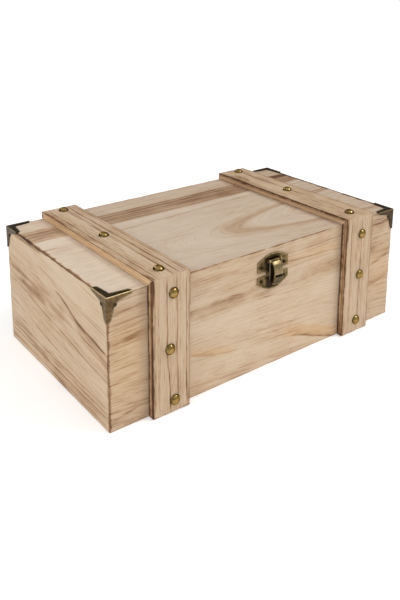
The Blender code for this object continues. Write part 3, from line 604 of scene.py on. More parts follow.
FRONT_STRAP = dict(
    tones=[(0, 20), (0.08, 12), (0.30, 10), (0.5, 8), (0.75, 10), (0.92, 14), (1.0, 18)],
    tint=(0.98, 0.98, 0.98), flank=0.28, flank_tint=(1.0, 0.94, 0.86), arris=(0.55, 1.9),
    wall=(0.62, 4.2),
)
STRAP_LOOKS = {
    ("left", True): dict(
        FRONT_STRAP, seed=11,
        marks=[
            (((0, 0.46), (45, 0.41), (85, 0.38), (126, 0.375)), 1.1, 0.46),
            (0, 0.66, 126, 0.635, 1.1, 0.44), (0, 0.9, 126, 0.89, 1, 0.42),
            (0, 0.96, 126, 0.955, 0.6, 0.32), (0, 0.06, 126, 0.07, 0.7, 0.28),
            (0, 0.16, 126, 0.14, 0.8, 0.16), (0, 0.53, 126, 0.51, 0.5, 0.12),
            (100, 0.03, 128, 0.03, 2.2, 0.4),
        ],
    ),
    ("left", False): dict(
        seed=12, tint=WHITE,
        tones=[
            (0, 27), (0.15, 24), (0.30, 14), (0.36, 0), (0.50, 0), (0.56, 16), (0.72, 24), (0.8, 14),
            (1.0, 16),
        ],
        # The left flank's tint is amber and lifts it above the wood's own colour: painted light over its
        # shade
        flank=0.0, flank_tint=(1.22, 1.12, 0.94), arris=(0.42, 1.2), wall=(0.10, 1.5),
        marks=[
            (-104, 0.17, 97, 0.16, 1.3, 0.38), (-104, 0.27, 97, 0.26, 0.6, 0.24),
            (-104, 0.345, 97, 0.33, 0.7, 0.32), (-104, 0.58, 97, 0.59, 1.2, 0.38),
            (-104, 0.74, 97, 0.72, 1.1, 0.5), (-104, 0.82, 97, 0.81, 0.5, 0.18),
            (-104, 0.92, 97, 0.9, 0.9, 0.32), (45, 0.03, 92, 0.03, 2.4, 0.48),
            (-106, 0.04, -92, 0.04, 3, 0.42),
        ],
    ),
    ("right", True): dict(
        FRONT_STRAP, seed=13,
        marks=[
            (((0, 0.25), (60, 0.22), (126, 0.19)), 1, 0.42), (40, 0.28, 126, 0.26, 0.7, 0.36),
            (0, 0.58, 126, 0.595, 0.9, 0.42), (0, 0.72, 126, 0.71, 0.7, 0.26),
            (0, 0.955, 126, 0.96, 0.8, 0.34), (100, 0.03, 128, 0.03, 2.2, 0.4),
        ],
    ),
    ("right", False): dict(
        seed=14, tint=WHITE,
        tones=[(0, 34), (0.1, 22), (0.4, 14), (0.6, 22), (0.75, 16), (1.0, 20)],
        flank=0.16, flank_tint=(1.0, 0.90, 0.82), arris=(0.62, 2.2), wall=(0.12, 1.5),
        marks=[
            (-104, 0.58, 97, 0.63, 1.1, 0.4), (-104, 0.72, 97, 0.72, 0.8, 0.18),
            (-104, 0.93, 97, 0.93, 0.8, 0.32), (50, 0.25, 78, 0.25, 5, 0.42),
            (50, 0.62, 78, 0.62, 3, 0.34), (40, 0.04, 84, 0.04, 3, 0.45),
        ],
    ),
}
strap_woods = {key: strap_wood(*key, look) for key, look in STRAP_LOOKS.items()}


# Metal

METAL_RELIEF, METAL_STRENGTH = 0.03 * MM, 0.6
CLOUD_SCALE, PIT_SCALE = 0.30, 1.2
# Shares of the dark colour: at a nail's rim (patina and painted shade) and at the darker places
RIM_PATINA_SHADE, DARKER_SHARE = 0.35, 0.22
LATCH_X = 1.5
# Where the darker places fade: from, to, and its levels at both. BESIDE and ABOVE shape painted shadow.
BESIDE, ABOVE, BRACKET_DARKER_SPAN = (7.0, 10.0, 0.95, 0.0), (107.0, 110.0, 1.0, 0.50), (-50.0, 50.0)
BRACKET_DARKER_SHARE = 0.62


def aged_metal(name, bright, dark, rough, patina, darker_places=None, edge=WHITE):
    """Metal that has darkened in patches, and towards the rim of a nail with patina and painted shade.

    A darkening function gives where it is darker still: painted shadow beside the latch's flap, and a
    darker tone on all brackets but the front left one. edge gives the tint of what it mirrors at a low
    angle.
    """
    s = Shade(name)
    cloud = s.noise(s.place, CLOUD_SCALE)
    worn = s.span(cloud, 0.55 - patina * 0.25, 0.80 - patina * 0.25)
    colour = s.blend(worn, bright, dark)
    rim = s.add("Attribute", attribute_name="rim").outputs["Fac"]
    rim_patina_shade, darker_colour = [tuple(share * level for level in dark) for share in (RIM_PATINA_SHADE, DARKER_SHARE)]
    # Towards a nail's rim: patina and painted shade
    colour = s.blend(s.span(rim, 0.70, 1.0, 0.0, 0.8), colour, rim_patina_shade)
    # Darker places: painted shadow beside the latch's flap, and the darker brackets
    if darker_places is not None:
        colour = s.blend(darker_places(s), colour, darker_colour)
    sheen = s.span(cloud, 0.3, 0.7, rough, rough + 0.10)
    s.look({"Base Color": colour, "Metallic": 1.0, "Specular Tint": (*edge, 1.0), "Roughness": sheen})
    s.bump(s.noise(s.place, PIT_SCALE), METAL_RELIEF, METAL_STRENGTH)
    return s.material


def beside_flap(s):
    """Painted shadow: the latch's plates are darker under and beside the flap, less so above its pin."""
    off = s.math("ABSOLUTE", s.less(s.axis[X], LATCH_X))
    return s.times(s.span(off, *BESIDE), s.span(s.axis[Z], *ABOVE))


def tarnished(s):
    """All brackets but the front left one are darker."""
    return s.times(s.most(*[s.span(s.axis[axis], *BRACKET_DARKER_SPAN) for axis in (X, Y)]), BRACKET_DARKER_SHARE)


nail_brass = aged_metal(
    "nail_brass_fine", (0.36, 0.24, 0.08), (0.15, 0.095, 0.026), 0.17, 0.45, edge=(0.42, 0.29, 0.12)
)
bronze_rim = aged_metal("bronze_rim", (0.075, 0.05, 0.025), (0.035, 0.023, 0.011), 0.34, 0.6)
bronze_field = aged_metal("bronze_field", (0.165, 0.105, 0.05), (0.105, 0.065, 0.03), 0.36, 0.5, tarnished)
bronze_ridge = aged_metal("bronze_ridge", (0.5, 0.38, 0.18), (0.34, 0.25, 0.11), 0.3, 0.4, tarnished)
# A darker copy of the bronze for a bracket's upward faces: painted dark reflection
bronze_painted_dark_top = aged_metal("bronze_painted_dark_top", (0.085, 0.058, 0.029), (0.045, 0.03, 0.015), 0.4, 0.6)
# The plates' field, with painted shadow under and beside the flap
latch_field = aged_metal("latch_field", (0.19, 0.132, 0.055), (0.08, 0.054, 0.022), 0.32, 0.55, beside_flap)
latch_rim = aged_metal("latch_rim", (0.27, 0.195, 0.088), (0.12, 0.083, 0.036), 0.3, 0.4)
latch_stud = aged_metal("latch_stud", (0.075, 0.05, 0.02), (0.035, 0.023, 0.01), 0.34, 0.5)
flap_face = aged_metal("flap_face", (0.28, 0.208, 0.105), (0.18, 0.13, 0.06), 0.27, 0.35)
# The flap's flanks: painted deep shade
flap_painted_deep_shade = aged_metal("flap_painted_deep_shade", (0.028, 0.019, 0.009), (0.016, 0.01, 0.005), 0.5, 0.7)
# The rear strip of each flank: a painted highlight
flap_painted_highlight = aged_metal("flap_painted_highlight", (0.7, 0.64, 0.55), (0.5, 0.45, 0.37), 0.36, 0.3)
# A darker copy of the flap's brass on its knuckle and below its slot: painted shade
flap_painted_shade = aged_metal("flap_painted_shade", (0.115, 0.08, 0.032), (0.05, 0.034, 0.014), 0.32, 0.6)
hinge_metal = aged_metal("hinge_metal", (0.24, 0.172, 0.08), (0.115, 0.08, 0.036), 0.34, 0.5)
pin_metal = aged_metal("pin_metal", (0.38, 0.35, 0.3), (0.2, 0.18, 0.15), 0.32, 0.4)


# Boards and straps

CELL = 5.0 * MM
WEAR, WEAR_LENGTH = 0.22 * MM, 9 * MM
WEAR_SHIFT, WEAR_BIAS = Vector((3.0, 6.9, 0.0)), 0.1
ROUNDING_LEAST, ROUNDING_SPREAD = 0.8, 1.4
ARRIS_ROUNDING, BOTTOM_ROUNDING = 0.7 * MM, 0.3 * MM
STRAP_MAKE = dict(rounding=1.0 * MM, wear=0.35 * MM, cell=3.5 * MM)
ON_PLANE, NEAR_SEAM = 0.01 * MM, 0.2 * MM
TIGHT_WEIGHT = 0.15
SEAM_EASE = 0.12 * MM
MITRE_GAP = 0.02 * MM
ARC_SHARES = (0.25, 0.5, 0.75, 1.0)
SHARP_ANGLE = math.radians(30)


def wear_at(place):
    """How worn an arris is at this place, as a share."""
    return max(0.0, noise.noise(Vector(place) / WEAR_LENGTH + WEAR_SHIFT) + WEAR_BIAS)


def end_of(box, axis, side):
    low, high = box
    return high[axis] if side > 0 else low[axis]


def add_block(shape, low, high):
    size = Vector(high) - Vector(low)
    made = bmesh.ops.create_cube(shape, size=1.0)["verts"]
    bmesh.ops.scale(shape, vec=size, verts=made)
    bmesh.ops.translate(shape, vec=(Vector(high) + Vector(low)) / 2, verts=made)
    return made


def round_mitres(shape, box, outer, mitres, rounding):
    """Rounds the outer face down to each mitre, so that two boards share one round arris."""
    outer_axis, outward = outer
    face_place = end_of(box, outer_axis, outward)
    arris = set()
    for vertex in shape.verts:
        if abs(vertex.co[outer_axis] - face_place) > ON_PLANE:
            continue
        sink = 0.0
        for axis, side in mitres:
            end = end_of(box, axis, side)
            inset = max((end - vertex.co[axis]) * side, 0.0)
            if inset > 1.02 * rounding:
                continue
            corner = vertex.co.copy()
            corner[axis] = end
            radius = rounding * (ROUNDING_LEAST + ROUNDING_SPREAD * wear_at(corner))
            turn = math.radians(45) * (1 - inset / rounding)
            vertex.co[axis] = end - side * radius * (1 - math.sin(turn))
            sink = max(sink, radius * (1 - math.cos(turn)))
            if inset < 2 * ON_PLANE:
                arris.add(vertex)
        vertex.co[outer_axis] -= outward * sink
    return arris


def board(node, outer, mitres, material, rounding=ARRIS_ROUNDING, wear=WEAR, cell=CELL, tight=()):
    """A board with worn, rounded arrises.

    mitres: planes, as axis and place in millimetres, of the outer faces of the boards that meet it.
    tight: planes, as axis and place in metres, where the closed lid all but meets the base.
    """
    low, high = box = tuple(corner.copy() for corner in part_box(node))
    middle = (low + high) / 2
    mitred = []
    for axis, place in mitres:
        side = math.copysign(1, place * MM - middle[axis])
        box[side > 0][axis] = place * MM - side * MITRE_GAP
        mitred.append((axis, side))
    size = high - low
    middle = (low + high) / 2
    shape = bmesh.new()
    add_block(shape, low, high)
    cuts = []
    for axis in range(3):
        cells = max(1, round(size[axis] / cell))
        cuts += [(axis, low[axis] + size[axis] * step / cells) for step in range(1, cells)]
    for axis, side in mitred:
        cuts += [(axis, end_of(box, axis, side) - side * rounding * share) for share in ARC_SHARES]
    for axis, place in cuts:
        geometry = shape.verts[:] + shape.edges[:] + shape.faces[:]
        bmesh.ops.bisect_plane(shape, geom=geometry, plane_co=AXES[axis] * place, plane_no=AXES[axis])
    outer_axis, outward = outer
    face_place = end_of(box, outer_axis, outward)
    for vertex in shape.verts:
        sunk = abs(vertex.co[outer_axis] - face_place)
        for axis, side in mitred:
            off = vertex.co[axis] - middle[axis]
            if off * side > 0:
                half = size[axis] / 2
                vertex.co[axis] = middle[axis] + off * (half - sunk) / half
        for axis, place in tight:
            if abs(vertex.co[axis] - place) < ON_PLANE:
                vertex.co[axis] += math.copysign(SEAM_EASE, place - middle[axis])
    arris = round_mitres(shape, box, outer, mitred, rounding)
    weights = shape.edges.layers.float.new("bevel_weight_edge")
    shape.normal_update()
    worn = {}
    for edge in shape.edges:
        if edge.calc_face_angle(0) < SHARP_ANGLE:
            continue
        if all(vertex in arris for vertex in edge.verts):
            edge.smooth = False
            continue
        edge[weights] = 1.0
        for axis, place in tight:
            if all(abs(vertex.co[axis] - place) < NEAR_SEAM for vertex in edge.verts):
                edge[weights] = TIGHT_WEIGHT
        inward = -(edge.link_faces[0].normal + edge.link_faces[1].normal).normalized()
        for vertex in edge.verts:
            worn[vertex] = inward * (wear_at(vertex.co) * wear * edge[weights])
    for vertex, move in worn.items():
        vertex.co += move
    piece = dress(node, mesh_from(node + "_fine", shape), material)
    return soften(piece, rounding, by_weight=True)


def seam_between(base_node, lid_node):
    return ((Z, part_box(base_node)[1].z), (Z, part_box(lid_node)[0].z))


def build_box():
    seam = seam_between("base_front_panel", "lid_front_rail")
    ends = ((X, -END_X), (X, END_X))
    faces = ((Y, -FACE_Y), (Y, FACE_Y))

    def build_walls(name, top):
        for side, outer, mitres, wood in (
            ("front", (Y, -1), ends, front_wood), ("back", (Y, 1), ends, back_wood),
            ("left", (X, -1), faces, left_wood), ("right", (X, 1), faces, right_wood),
        ):
            board(name.format(side), outer, mitres + top, wood, tight=seam)

    build_walls("base_{}_panel", ())
    board("base_bottom_panel", (Z, -1), (), bottom_wood, rounding=BOTTOM_ROUNDING)
    board("lid_top_panel", (Z, 1), ends + faces, top_wood)
    build_walls("lid_{}_rail", ((Z, TOP_Z),))


def build_straps():
    seam = seam_between("strap_front_lower_left", "strap_front_upper_left")
    front, top = ((Y, STRAP_FRONT_Y),), ((Z, STRAP_TOP_Z),)
    for side in ("left", "right"):
        upright, flat = strap_woods[side, True], strap_woods[side, False]
        board("strap_top_" + side, (Z, 1), front, flat, **STRAP_MAKE)
        board("strap_front_upper_" + side, (Y, -1), top, upright, tight=seam, **STRAP_MAKE)
        board("strap_front_lower_" + side, (Y, -1), (), upright, tight=seam, **STRAP_MAKE)


# Turned and folded metal, made in millimetres

TUBE_SOFTNESS = 0.25
RIM_LIFT, PIN_DOME, PIN_ROUND = 0.04, 0.08, 0.3
# Places of materials on a bracket or plate. FLAT, a bracket's upward faces, takes a painted dark reflection
RIM, FIELD, RIDGE, FLAT = range(4)


def frame_at(across, up, place):
    """Maps an outline's x, y and height to the directions across, up and out of the sheet."""
    matrix = Matrix((across, up, across.cross(up))).transposed().to_4x4()
    return Matrix.Translation(place) @ matrix


def facing(place, direction):
    return Matrix.Translation(place) @ direction.to_track_quat("Z", "Y").to_matrix().to_4x4()


def add_turned(shape, profile, matrix, steps=32, ring=False, material=0):
    """Adds a turned shape about the matrix's Z axis from a profile of radius and height."""
    rows = []
    for radius, height in profile:
        row = []
        for step in range(steps if radius else 1):
            turn = 2 * math.pi * step / steps
            place = Vector((radius * math.cos(turn), radius * math.sin(turn), height))
            row.append(shape.verts.new(matrix @ place))
        rows.append(row)
    for upper, lower in zip(rows, rows[1:] + (rows[:1] if ring else [])):
        for step in range(steps):
            after = (step + 1) % steps
            if len(upper) == 1:
                corners = (upper[0], lower[step], lower[after])
            elif len(lower) == 1:
                corners = (upper[step], lower[0], upper[after])
            else:
                corners = (upper[step], lower[step], lower[after], upper[after])
            shape.faces.new(corners).material_index = material


def domed_profile(head, dome, rim, shank, length, rings=9):
    """A dome with a thin rolled rim over a pointed shank."""
    radius = head / 2
    sphere = (radius**2 + dome**2) / (2 * dome)
    reach = math.acos((sphere - dome) / sphere)
    profile = []
    for ring in range(rings):
        angle = reach * ring / rings
        profile.append((sphere * math.sin(angle), rim + dome - sphere * (1 - math.cos(angle))))
    return profile + [
        (radius * 0.992, rim * 1.15), (radius, rim * 0.75), (radius * 0.99, rim * 0.3),
        (radius * 0.95, RIM_LIFT), (radius * 0.86, 0.0), (shank / 2, 0.0),
        (shank / 2, shank - length), (0, -length),
    ]


def add_tube(shape, radius, hole, start, end, centre, material=RIM):
    """A tube along X with softened ends, about the centre's height and depth."""
    soft = min(TUBE_SOFTNESS, (radius - hole) / 3)
    profile = [
        (hole, start + soft), (hole + soft, start), (radius - soft, start), (radius, start + soft),
        (radius, end - soft), (radius - soft, end), (hole + soft, end), (hole, end - soft),
    ]
    matrix = frame_at(BACKWARD, UPWARD, Vector((0, centre.y, centre.z)))
    add_turned(shape, profile, matrix, ring=True, material=material)


def add_pin(shape, radius, length, centre):
    """A pin along X with domed ends."""
    half = length / 2
    profile = [(0, half), (radius * 0.6, half - PIN_DOME), (radius, half - PIN_ROUND)]
    profile += [(across, -along) for across, along in reversed(profile)]
    add_turned(shape, profile, facing(centre, RIGHTWARD), steps=24)


def add_sheet(shape, outline, thickness, matrix, rim=0.0, sink=0.0):
    """Adds a closed sheet with this outline. If there is a rim, the field inside it is sunk."""
    area = sum(a[0] * b[1] - b[0] * a[1] for a, b in zip(outline, outline[1:] + outline[:1]))
    outline = outline if area > 0 else outline[::-1]
    front, back = [
        [shape.verts.new(matrix @ Vector((x, y, height))) for x, y in outline]
        for height in (thickness / 2, -thickness / 2)
    ]
    face = shape.faces.new(front)
    shape.faces.new(back[::-1])
    count = len(outline)
    for index in range(count):
        after = (index + 1) % count
        shape.faces.new((front[after], front[index], back[index], back[after]))
    if rim:
        shape.normal_update()
        for width, depth in ((rim, 0.0), (sink, -sink)):
            bmesh.ops.inset_region(
                shape, faces=[face], thickness=width, depth=depth, use_even_offset=True
            )
        face.material_index = FIELD


def put_nail(node, profile, outward, material, lean=3.0, steps=40):
    """A domed nail with the hand's small lean, where its CAD node stands."""
    shape = bmesh.new()
    add_turned(shape, profile, Matrix.Identity(4), steps)
    mesh = mesh_from(node + "_fine", shape, MM)
    mesh.shade_smooth()
    radius = max(across for across, _ in profile) * MM
    # The rim share, by which the metal takes patina and painted shade towards the rim
    rims = mesh.attributes.new("rim", "FLOAT", "POINT").data
    for rim, vertex in zip(rims, mesh.vertices):
        rim.value = math.hypot(vertex.co.x, vertex.co.y) / radius
    low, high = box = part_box(node)
    place = (low + high) / 2
    axis = max(range(3), key=lambda index: abs(outward[index]))
    place[axis] = end_of(box, axis, outward[axis]) - outward[axis] * profile[0][1] * MM
    tilt = Matrix.Rotation(math.radians(random.uniform(-lean, lean)), 4, "X")
    tilt @= Matrix.Rotation(math.radians(random.uniform(-lean, lean)), 4, "Y")
    mesh.transform(facing(place, outward) @ tilt)
    return dress(node, mesh, material)


def build_nails():
    strap_nail = domed_profile(head=9.7, dome=2.9, rim=0.4, shank=1.2, length=11.6, rings=12)
    latch_nail = domed_profile(head=3.4, dome=0.9, rim=0.2, shank=1.2, length=6.0)
    hinge_nail = domed_profile(head=4.0, dome=0.9, rim=0.2, shank=1.4, length=6.7)
    for side in ("left", "right"):
        for spot in ("front", "middle", "back"):
            put_nail(f"nail_top_{side}_{spot}", strap_nail, UPWARD, nail_brass)
        for spot in ("upper", "middle", "lower"):
            put_nail(f"nail_front_{side}_{spot}", strap_nail, FORWARD, nail_brass)
        for level in ("upper", "lower"):
            node = f"latch_nail_{level}_{side}"
            put_nail(node, latch_nail, FORWARD, latch_stud, lean=1.5, steps=28)
        for level in ("lid", "base"):
            for spot in ("outer", "inner"):
                node = f"hinge_{side}_nail_{level}_{spot}"
                put_nail(node, hinge_nail, BACKWARD, hinge_metal, lean=1.0, steps=28)


# Corner brackets

ARM, DROP = 23.5, 21.0
BAND, BAND_TIP = 5.8, 4.2
TIP_LENGTH, ARM_TIP, DROP_TIP = 2.8, 1.6, 3.4
ARM_ROOT, DROP_ROOT, ROOT_REACH = 4.2, 5.9, 10.4
EAR_INSET, EAR = 6.7, 4.2
SHEET, FOLD = 0.7, 0.85
OUTSIDE = -FIT_GAP - SHEET
BORDER, SLOPE, SINK = 0.55, 0.12, 0.16
BRACKET_SOFTNESS = 0.12
# How squarely a face has to point, and how far out it lies, to count as one of these
OUTER_DEPTH_SHARE, OUTER_TURN, FLAT_TURN, RIDGE_TURN = 0.72, 0.55, 0.9, 0.15
BRAD = dict(head=2.4, dome=0.62, rim=0.12, shank=1.0, length=5.2, rings=6)


def arm_edge(reach, tip_width, root_width, root_reach, steps=6):
    edge = []
    for step in range(steps + 1):
        angle = math.radians(90) * step / steps
        along = reach - TIP_LENGTH * (1 - math.cos(angle))
        edge.append((along, tip_width * math.sin(angle)))
    edge.append((root_reach, root_width))
    return edge


def bracket_outline(first_arm, second_arm, middle):
    swapped = [(second, first) for first, second in reversed(second_arm)]
    return [
        (OUTSIDE, OUTSIDE), (first_arm[0][0], OUTSIDE), *first_arm, *middle, *swapped,
        (OUTSIDE, second_arm[0][0]),
    ]


def ear_arc(steps=10):
    arc = []
    for step in range(steps + 1):
        angle = math.radians(180) * step / steps - math.radians(45)
        arc.append((EAR_INSET + EAR / 2 * math.cos(angle), EAR_INSET + EAR / 2 * math.sin(angle)))
    return arc


def add_bracket_sheet(shape):
    """The folded sheet about the corner, with its arms along +X and +Y and its drop along +Z."""
    band = arm_edge(ARM, BAND_TIP, BAND, BAND)
    flat = bracket_outline(band[:-1], band, [])
    upright = bracket_outline(
        arm_edge(ARM, ARM_TIP, ARM_ROOT, ROOT_REACH),
        arm_edge(DROP, DROP_TIP, DROP_ROOT, ROOT_REACH),
        ear_arc(),
    )
    made = {}

    def vertex(*place):
        key = tuple(round(value, 4) for value in place)
        if key not in made:
            made[key] = shape.verts.new(place)
        return made[key]

    shape.faces.new([vertex(along, across, OUTSIDE) for along, across in flat][::-1])
    shape.faces.new([vertex(along, OUTSIDE, down) for along, down in upright])
    shape.faces.new([vertex(OUTSIDE, along, down) for along, down in upright][::-1])
    folds = [edge for edge in shape.edges if len(edge.link_faces) == 2]
    bmesh.ops.bevel(shape, geom=folds, offset=FOLD, segments=4, profile=0.5, affect="EDGES")
    bmesh.ops.recalc_face_normals(shape, faces=shape.faces)
    top = min(shape.faces, key=lambda face: face.calc_center_median().z)
    if top.normal.z > 0:
        bmesh.ops.reverse_faces(shape, faces=shape.faces)
    bmesh.ops.solidify(shape, geom=shape.faces[:], thickness=SHEET)
    shape.normal_update()
    outer = []
    for face in shape.faces:
        middle = face.calc_center_median()
        if min(middle) < OUTSIDE * OUTER_DEPTH_SHARE and max(-face.normal) > OUTER_TURN:
            outer.append(face)
    return outer


def build_bracket(node, right, back):
    shape = bmesh.new()
    outer = add_bracket_sheet(shape)
    bmesh.ops.inset_region(shape, faces=outer, thickness=BORDER, use_even_offset=True)
    bmesh.ops.inset_region(shape, faces=outer, thickness=SLOPE, depth=-SINK, use_even_offset=True)
    # Upward outer faces take the painted dark reflection, the rest the field
    for face in outer:
        face.material_index = FLAT if face.normal.z < -FLAT_TURN else FIELD
    for face in shape.faces:
        normal = -face.normal
        if min(normal.z, max(normal.x, normal.y)) > RIDGE_TURN:
            face.material_index = RIDGE
    for axis in (Y, X):
        place = Vector((EAR_INSET, EAR_INSET, EAR_INSET))
        place[axis] = OUTSIDE
        add_turned(shape, domed_profile(**BRAD), facing(place, -AXES[axis]), steps=24)
    corner = Vector((right * END_X, back * FACE_Y, TOP_Z))
    turn = Matrix.Translation(corner) @ Matrix.Diagonal((-right, -back, -1, 1))
    bmesh.ops.transform(shape, matrix=turn, verts=shape.verts)
    metals = (bronze_rim, bronze_field, bronze_ridge, bronze_painted_dark_top)
    return dress_shape(node, shape, metals, BRACKET_SOFTNESS)


# Latch

SEAM_PLACE = Vector((LATCH_X, -FACE_Y - FIT_GAP, SEAM_Z))
PLATE, PLATE_HALF, PLATE_RIM, PLATE_SINK = 0.9, 19, 1.1, 0.22
UPPER_PLATE = (
    (-PLATE_HALF, 3.8), (-8.25, 3.3), (-8.25, 0.6), (8.25, 0.6), (8.25, 3.3), (PLATE_HALF, 3.8),
)
UPPER_SIDE, UPPER_PEAK = 13.8, 6.1
LOWER_START, LOWER_SIDE, LOWER_PEAK = 0.7, 7.8, 7.5
SLOPE_SHARES = ((1.0, 0.0), (0.82, 0.32), (0.58, 0.62), (0.38, 0.88), (0.2, 1.0))
TUBE, TUBE_HOLE, TUBE_GAP, LUG_HALF = 1.9, 0.95, 0.3, 1.1
FOOT_HALF, FOOT_NEAR, FOOT_FAR, FOOT_RISE = 0.9, 1.15, 2.75, 1.2
CATCH_ROOT, CATCH_NEAR, CATCH_REACH = 0.75, 1.2, 3.2
CATCH_TOP, CATCH_DROP, CATCH_WIDTH = 1.9, 7.0, 7.7
CATCH_SHARES = ((0.82, 0.0), (1.0, 0.1), (1.0, 0.3), (0.85, 0.55), (0.62, 0.75), (0.1, 1.0))
PIN, PIN_LENGTH, PIN_SOFTNESS = 0.65, 16.0, 0.05
FLAP_AXIS = Vector((LATCH_X, -100.4, 107.0))
FLAP_HALF, FLAP_SHEET, FLAP_ROUNDING, FLAP_SOFTNESS = 5.5, 1.0, 1.3, 0.2
FLAP_REAR, FLAP_LEAST = -1.9, 0.35
FLAP_PROFILE = (
    (0.0, 1.8), (2.86, 4.2), (6.38, 5.58), (10.56, 6.0), (14.96, 5.58), (18.7, 4.44), (20.9, 3.36),
    (22.0, 3.84),
)
FLAP_CROWN, FLAP_CROWN_TOP = ((3.0, 0.08), (1.5, 0.16)), 0.2
FLAP_STATIONS = (
    0.0, 0.8, 1.6, 2.4, 3.2, 4.2, 5.4, 6.8, 8.4, 10.2, 12.0, 14.2, 15.4, 16.6, 17.8, 18.9, 19.8,
    20.5, 21.0, 21.5, 22.0,
)
SLOT = (12.0, 14.2)
FLANGE = (2.8, 20.0)
# Width of each flank's rear strip, which takes a painted highlight
REAR_STRIP = 2.0
# Columns of faces across the flap, and the places of its materials: the face, the flanks in painted deep
# shade, their rear edges a painted highlight, and painted shade on the knuckle and below the slot
FLANK_COLUMNS, SLOT_COLUMNS = 4, range(5, 12)
FACE, FLANK, EDGE, LIP = range(4)


def plate_slope(side, peak):
    right = [(PLATE_HALF * across, side + peak * along) for across, along in SLOPE_SHARES]
    return right + [(-across, along) for across, along in reversed(right)]


def flap_out(down):
    """How far the flap's face stands out from its pin, this far below it."""
    points = FLAP_PROFILE
    index = max(i for i in range(len(points) - 1) if points[i][0] <= down)
    (x0, y0), (x1, y1) = points[index], points[index + 1]
    before = points[max(index - 1, 0)]
    after = points[min(index + 2, len(points) - 1)]
    start = (y1 - before[1]) / (x1 - before[0])
    end = (after[1] - y0) / (after[0] - x0)
    length = x1 - x0
    t = (down - x0) / length
    return (
        (2 * t**3 - 3 * t**2 + 1) * y0 + (t**3 - 2 * t**2 + t) * length * start
        + (3 * t**2 - 2 * t**3) * y1 + (t**3 - t**2) * length * end
    )


def flap_row(down):
    """Points across the flap at this height, from its left rear edge to its right one."""
    out = flap_out(down)
    near = out - FLAP_ROUNDING
    rear = FLAP_REAR if FLANGE[0] < down < FLANGE[1] else max(FLAP_REAR, near - FLAP_LEAST)
    flank = near - rear
    strip = min(REAR_STRIP, flank / 3)
    side = [(FLAP_HALF, y) for y in (rear, rear + strip, rear + (strip + flank) / 2, near)]
    for turn in (30, 60, 90):
        angle = math.radians(turn)
        across = FLAP_HALF - FLAP_ROUNDING * (1 - math.cos(angle))
        side.append((across, out - FLAP_ROUNDING * (1 - math.sin(angle))))
    side += [(x, out + rise) for x, rise in FLAP_CROWN]
    return [(-x, y) for x, y in side] + [(0.0, out + FLAP_CROWN_TOP)] + side[::-1]


def build_flap():
    shape = bmesh.new()
    rows = [
        [shape.verts.new(FLAP_AXIS + Vector((x, -y, -down))) for x, y in flap_row(down)]
        for down in FLAP_STATIONS
    ]
    last = len(rows[0]) - 2
    for upper, lower, down in zip(rows, rows[1:], FLAP_STATIONS):
        for column in range(last + 1):
            if down == SLOT[0] and column in SLOT_COLUMNS:
                continue
            corners = (upper[column], upper[column + 1], lower[column + 1], lower[column])
            from_edge = min(column, last - column)
            # Below the slot the face takes painted shade, the flanks painted deep shade and their rear
            # edges a painted highlight
            inner = LIP if SLOT[1] <= down < FLAP_STATIONS[-3] else FACE
            place = EDGE if from_edge == 0 else FLANK if from_edge < FLANK_COLUMNS else inner
            shape.faces.new(corners).material_index = place
    bmesh.ops.recalc_face_normals(shape, faces=shape.faces)
    middle = min(shape.faces, key=lambda face: face.calc_center_median().y)
    if middle.normal.y > 0:
        bmesh.ops.reverse_faces(shape, faces=shape.faces)
    bmesh.ops.solidify(shape, geom=shape.faces[:], thickness=FLAP_SHEET)
    start, end = LATCH_X - FLAP_HALF + TUBE_GAP, LATCH_X + FLAP_HALF - TUBE_GAP
    # The knuckle tube takes painted shade
    add_tube(shape, TUBE, TUBE_HOLE, start, end, FLAP_AXIS, LIP)
    dress_shape("latch_flap", shape, (flap_face, flap_painted_deep_shade, flap_painted_highlight, flap_painted_shade), FLAP_SOFTNESS)


def build_pin(node, radius, length, centre):
    shape = bmesh.new()
    add_pin(shape, radius, length, centre)
    dress_shape(node, shape, (pin_metal,), PIN_SOFTNESS)


def build_latch():
    plate_matrix = frame_at(RIGHTWARD, UPWARD, SEAM_PLACE + FORWARD * (PLATE / 2))
    shape = bmesh.new()
    upper = [*UPPER_PLATE, *plate_slope(UPPER_SIDE, UPPER_PEAK)]
    add_sheet(shape, upper, PLATE, plate_matrix, PLATE_RIM, PLATE_SINK)
    pin_y, pin_z = FLAP_AXIS.y, FLAP_AXIS.z
    for side in (-1, 1):
        middle = LATCH_X + side * (FLAP_HALF + FIT_GAP + LUG_HALF)
        add_tube(shape, TUBE, TUBE_HOLE, middle - LUG_HALF, middle + LUG_HALF, FLAP_AXIS)
        near = (middle - FOOT_HALF, pin_y + FOOT_NEAR, pin_z - FOOT_RISE)
        add_block(shape, near, (middle + FOOT_HALF, pin_y + FOOT_FAR, pin_z + FOOT_RISE))
    dress_shape("latch_upper_plate", shape, (latch_rim, latch_field))

    shape = bmesh.new()
    lower = [(across, -along) for across, along in plate_slope(LOWER_SIDE, LOWER_PEAK)]
    lower += [(-PLATE_HALF, -LOWER_START), (PLATE_HALF, -LOWER_START)]
    add_sheet(shape, lower, PLATE, plate_matrix, PLATE_RIM, PLATE_SINK)
    catch = [(CATCH_ROOT, -CATCH_TOP)]
    for out, down in CATCH_SHARES:
        catch.append((CATCH_NEAR + CATCH_REACH * out, -CATCH_TOP - CATCH_DROP * down))
    catch.append((CATCH_ROOT, -CATCH_TOP - CATCH_DROP))
    at_wall = Vector((LATCH_X, -FACE_Y, SEAM_Z))
    add_sheet(shape, catch, CATCH_WIDTH, frame_at(FORWARD, UPWARD, at_wall))
    dress_shape("latch_lower_plate", shape, (latch_rim, latch_field))
    build_pin("latch_pin", PIN, PIN_LENGTH, FLAP_AXIS)
    build_flap()


# Hinges

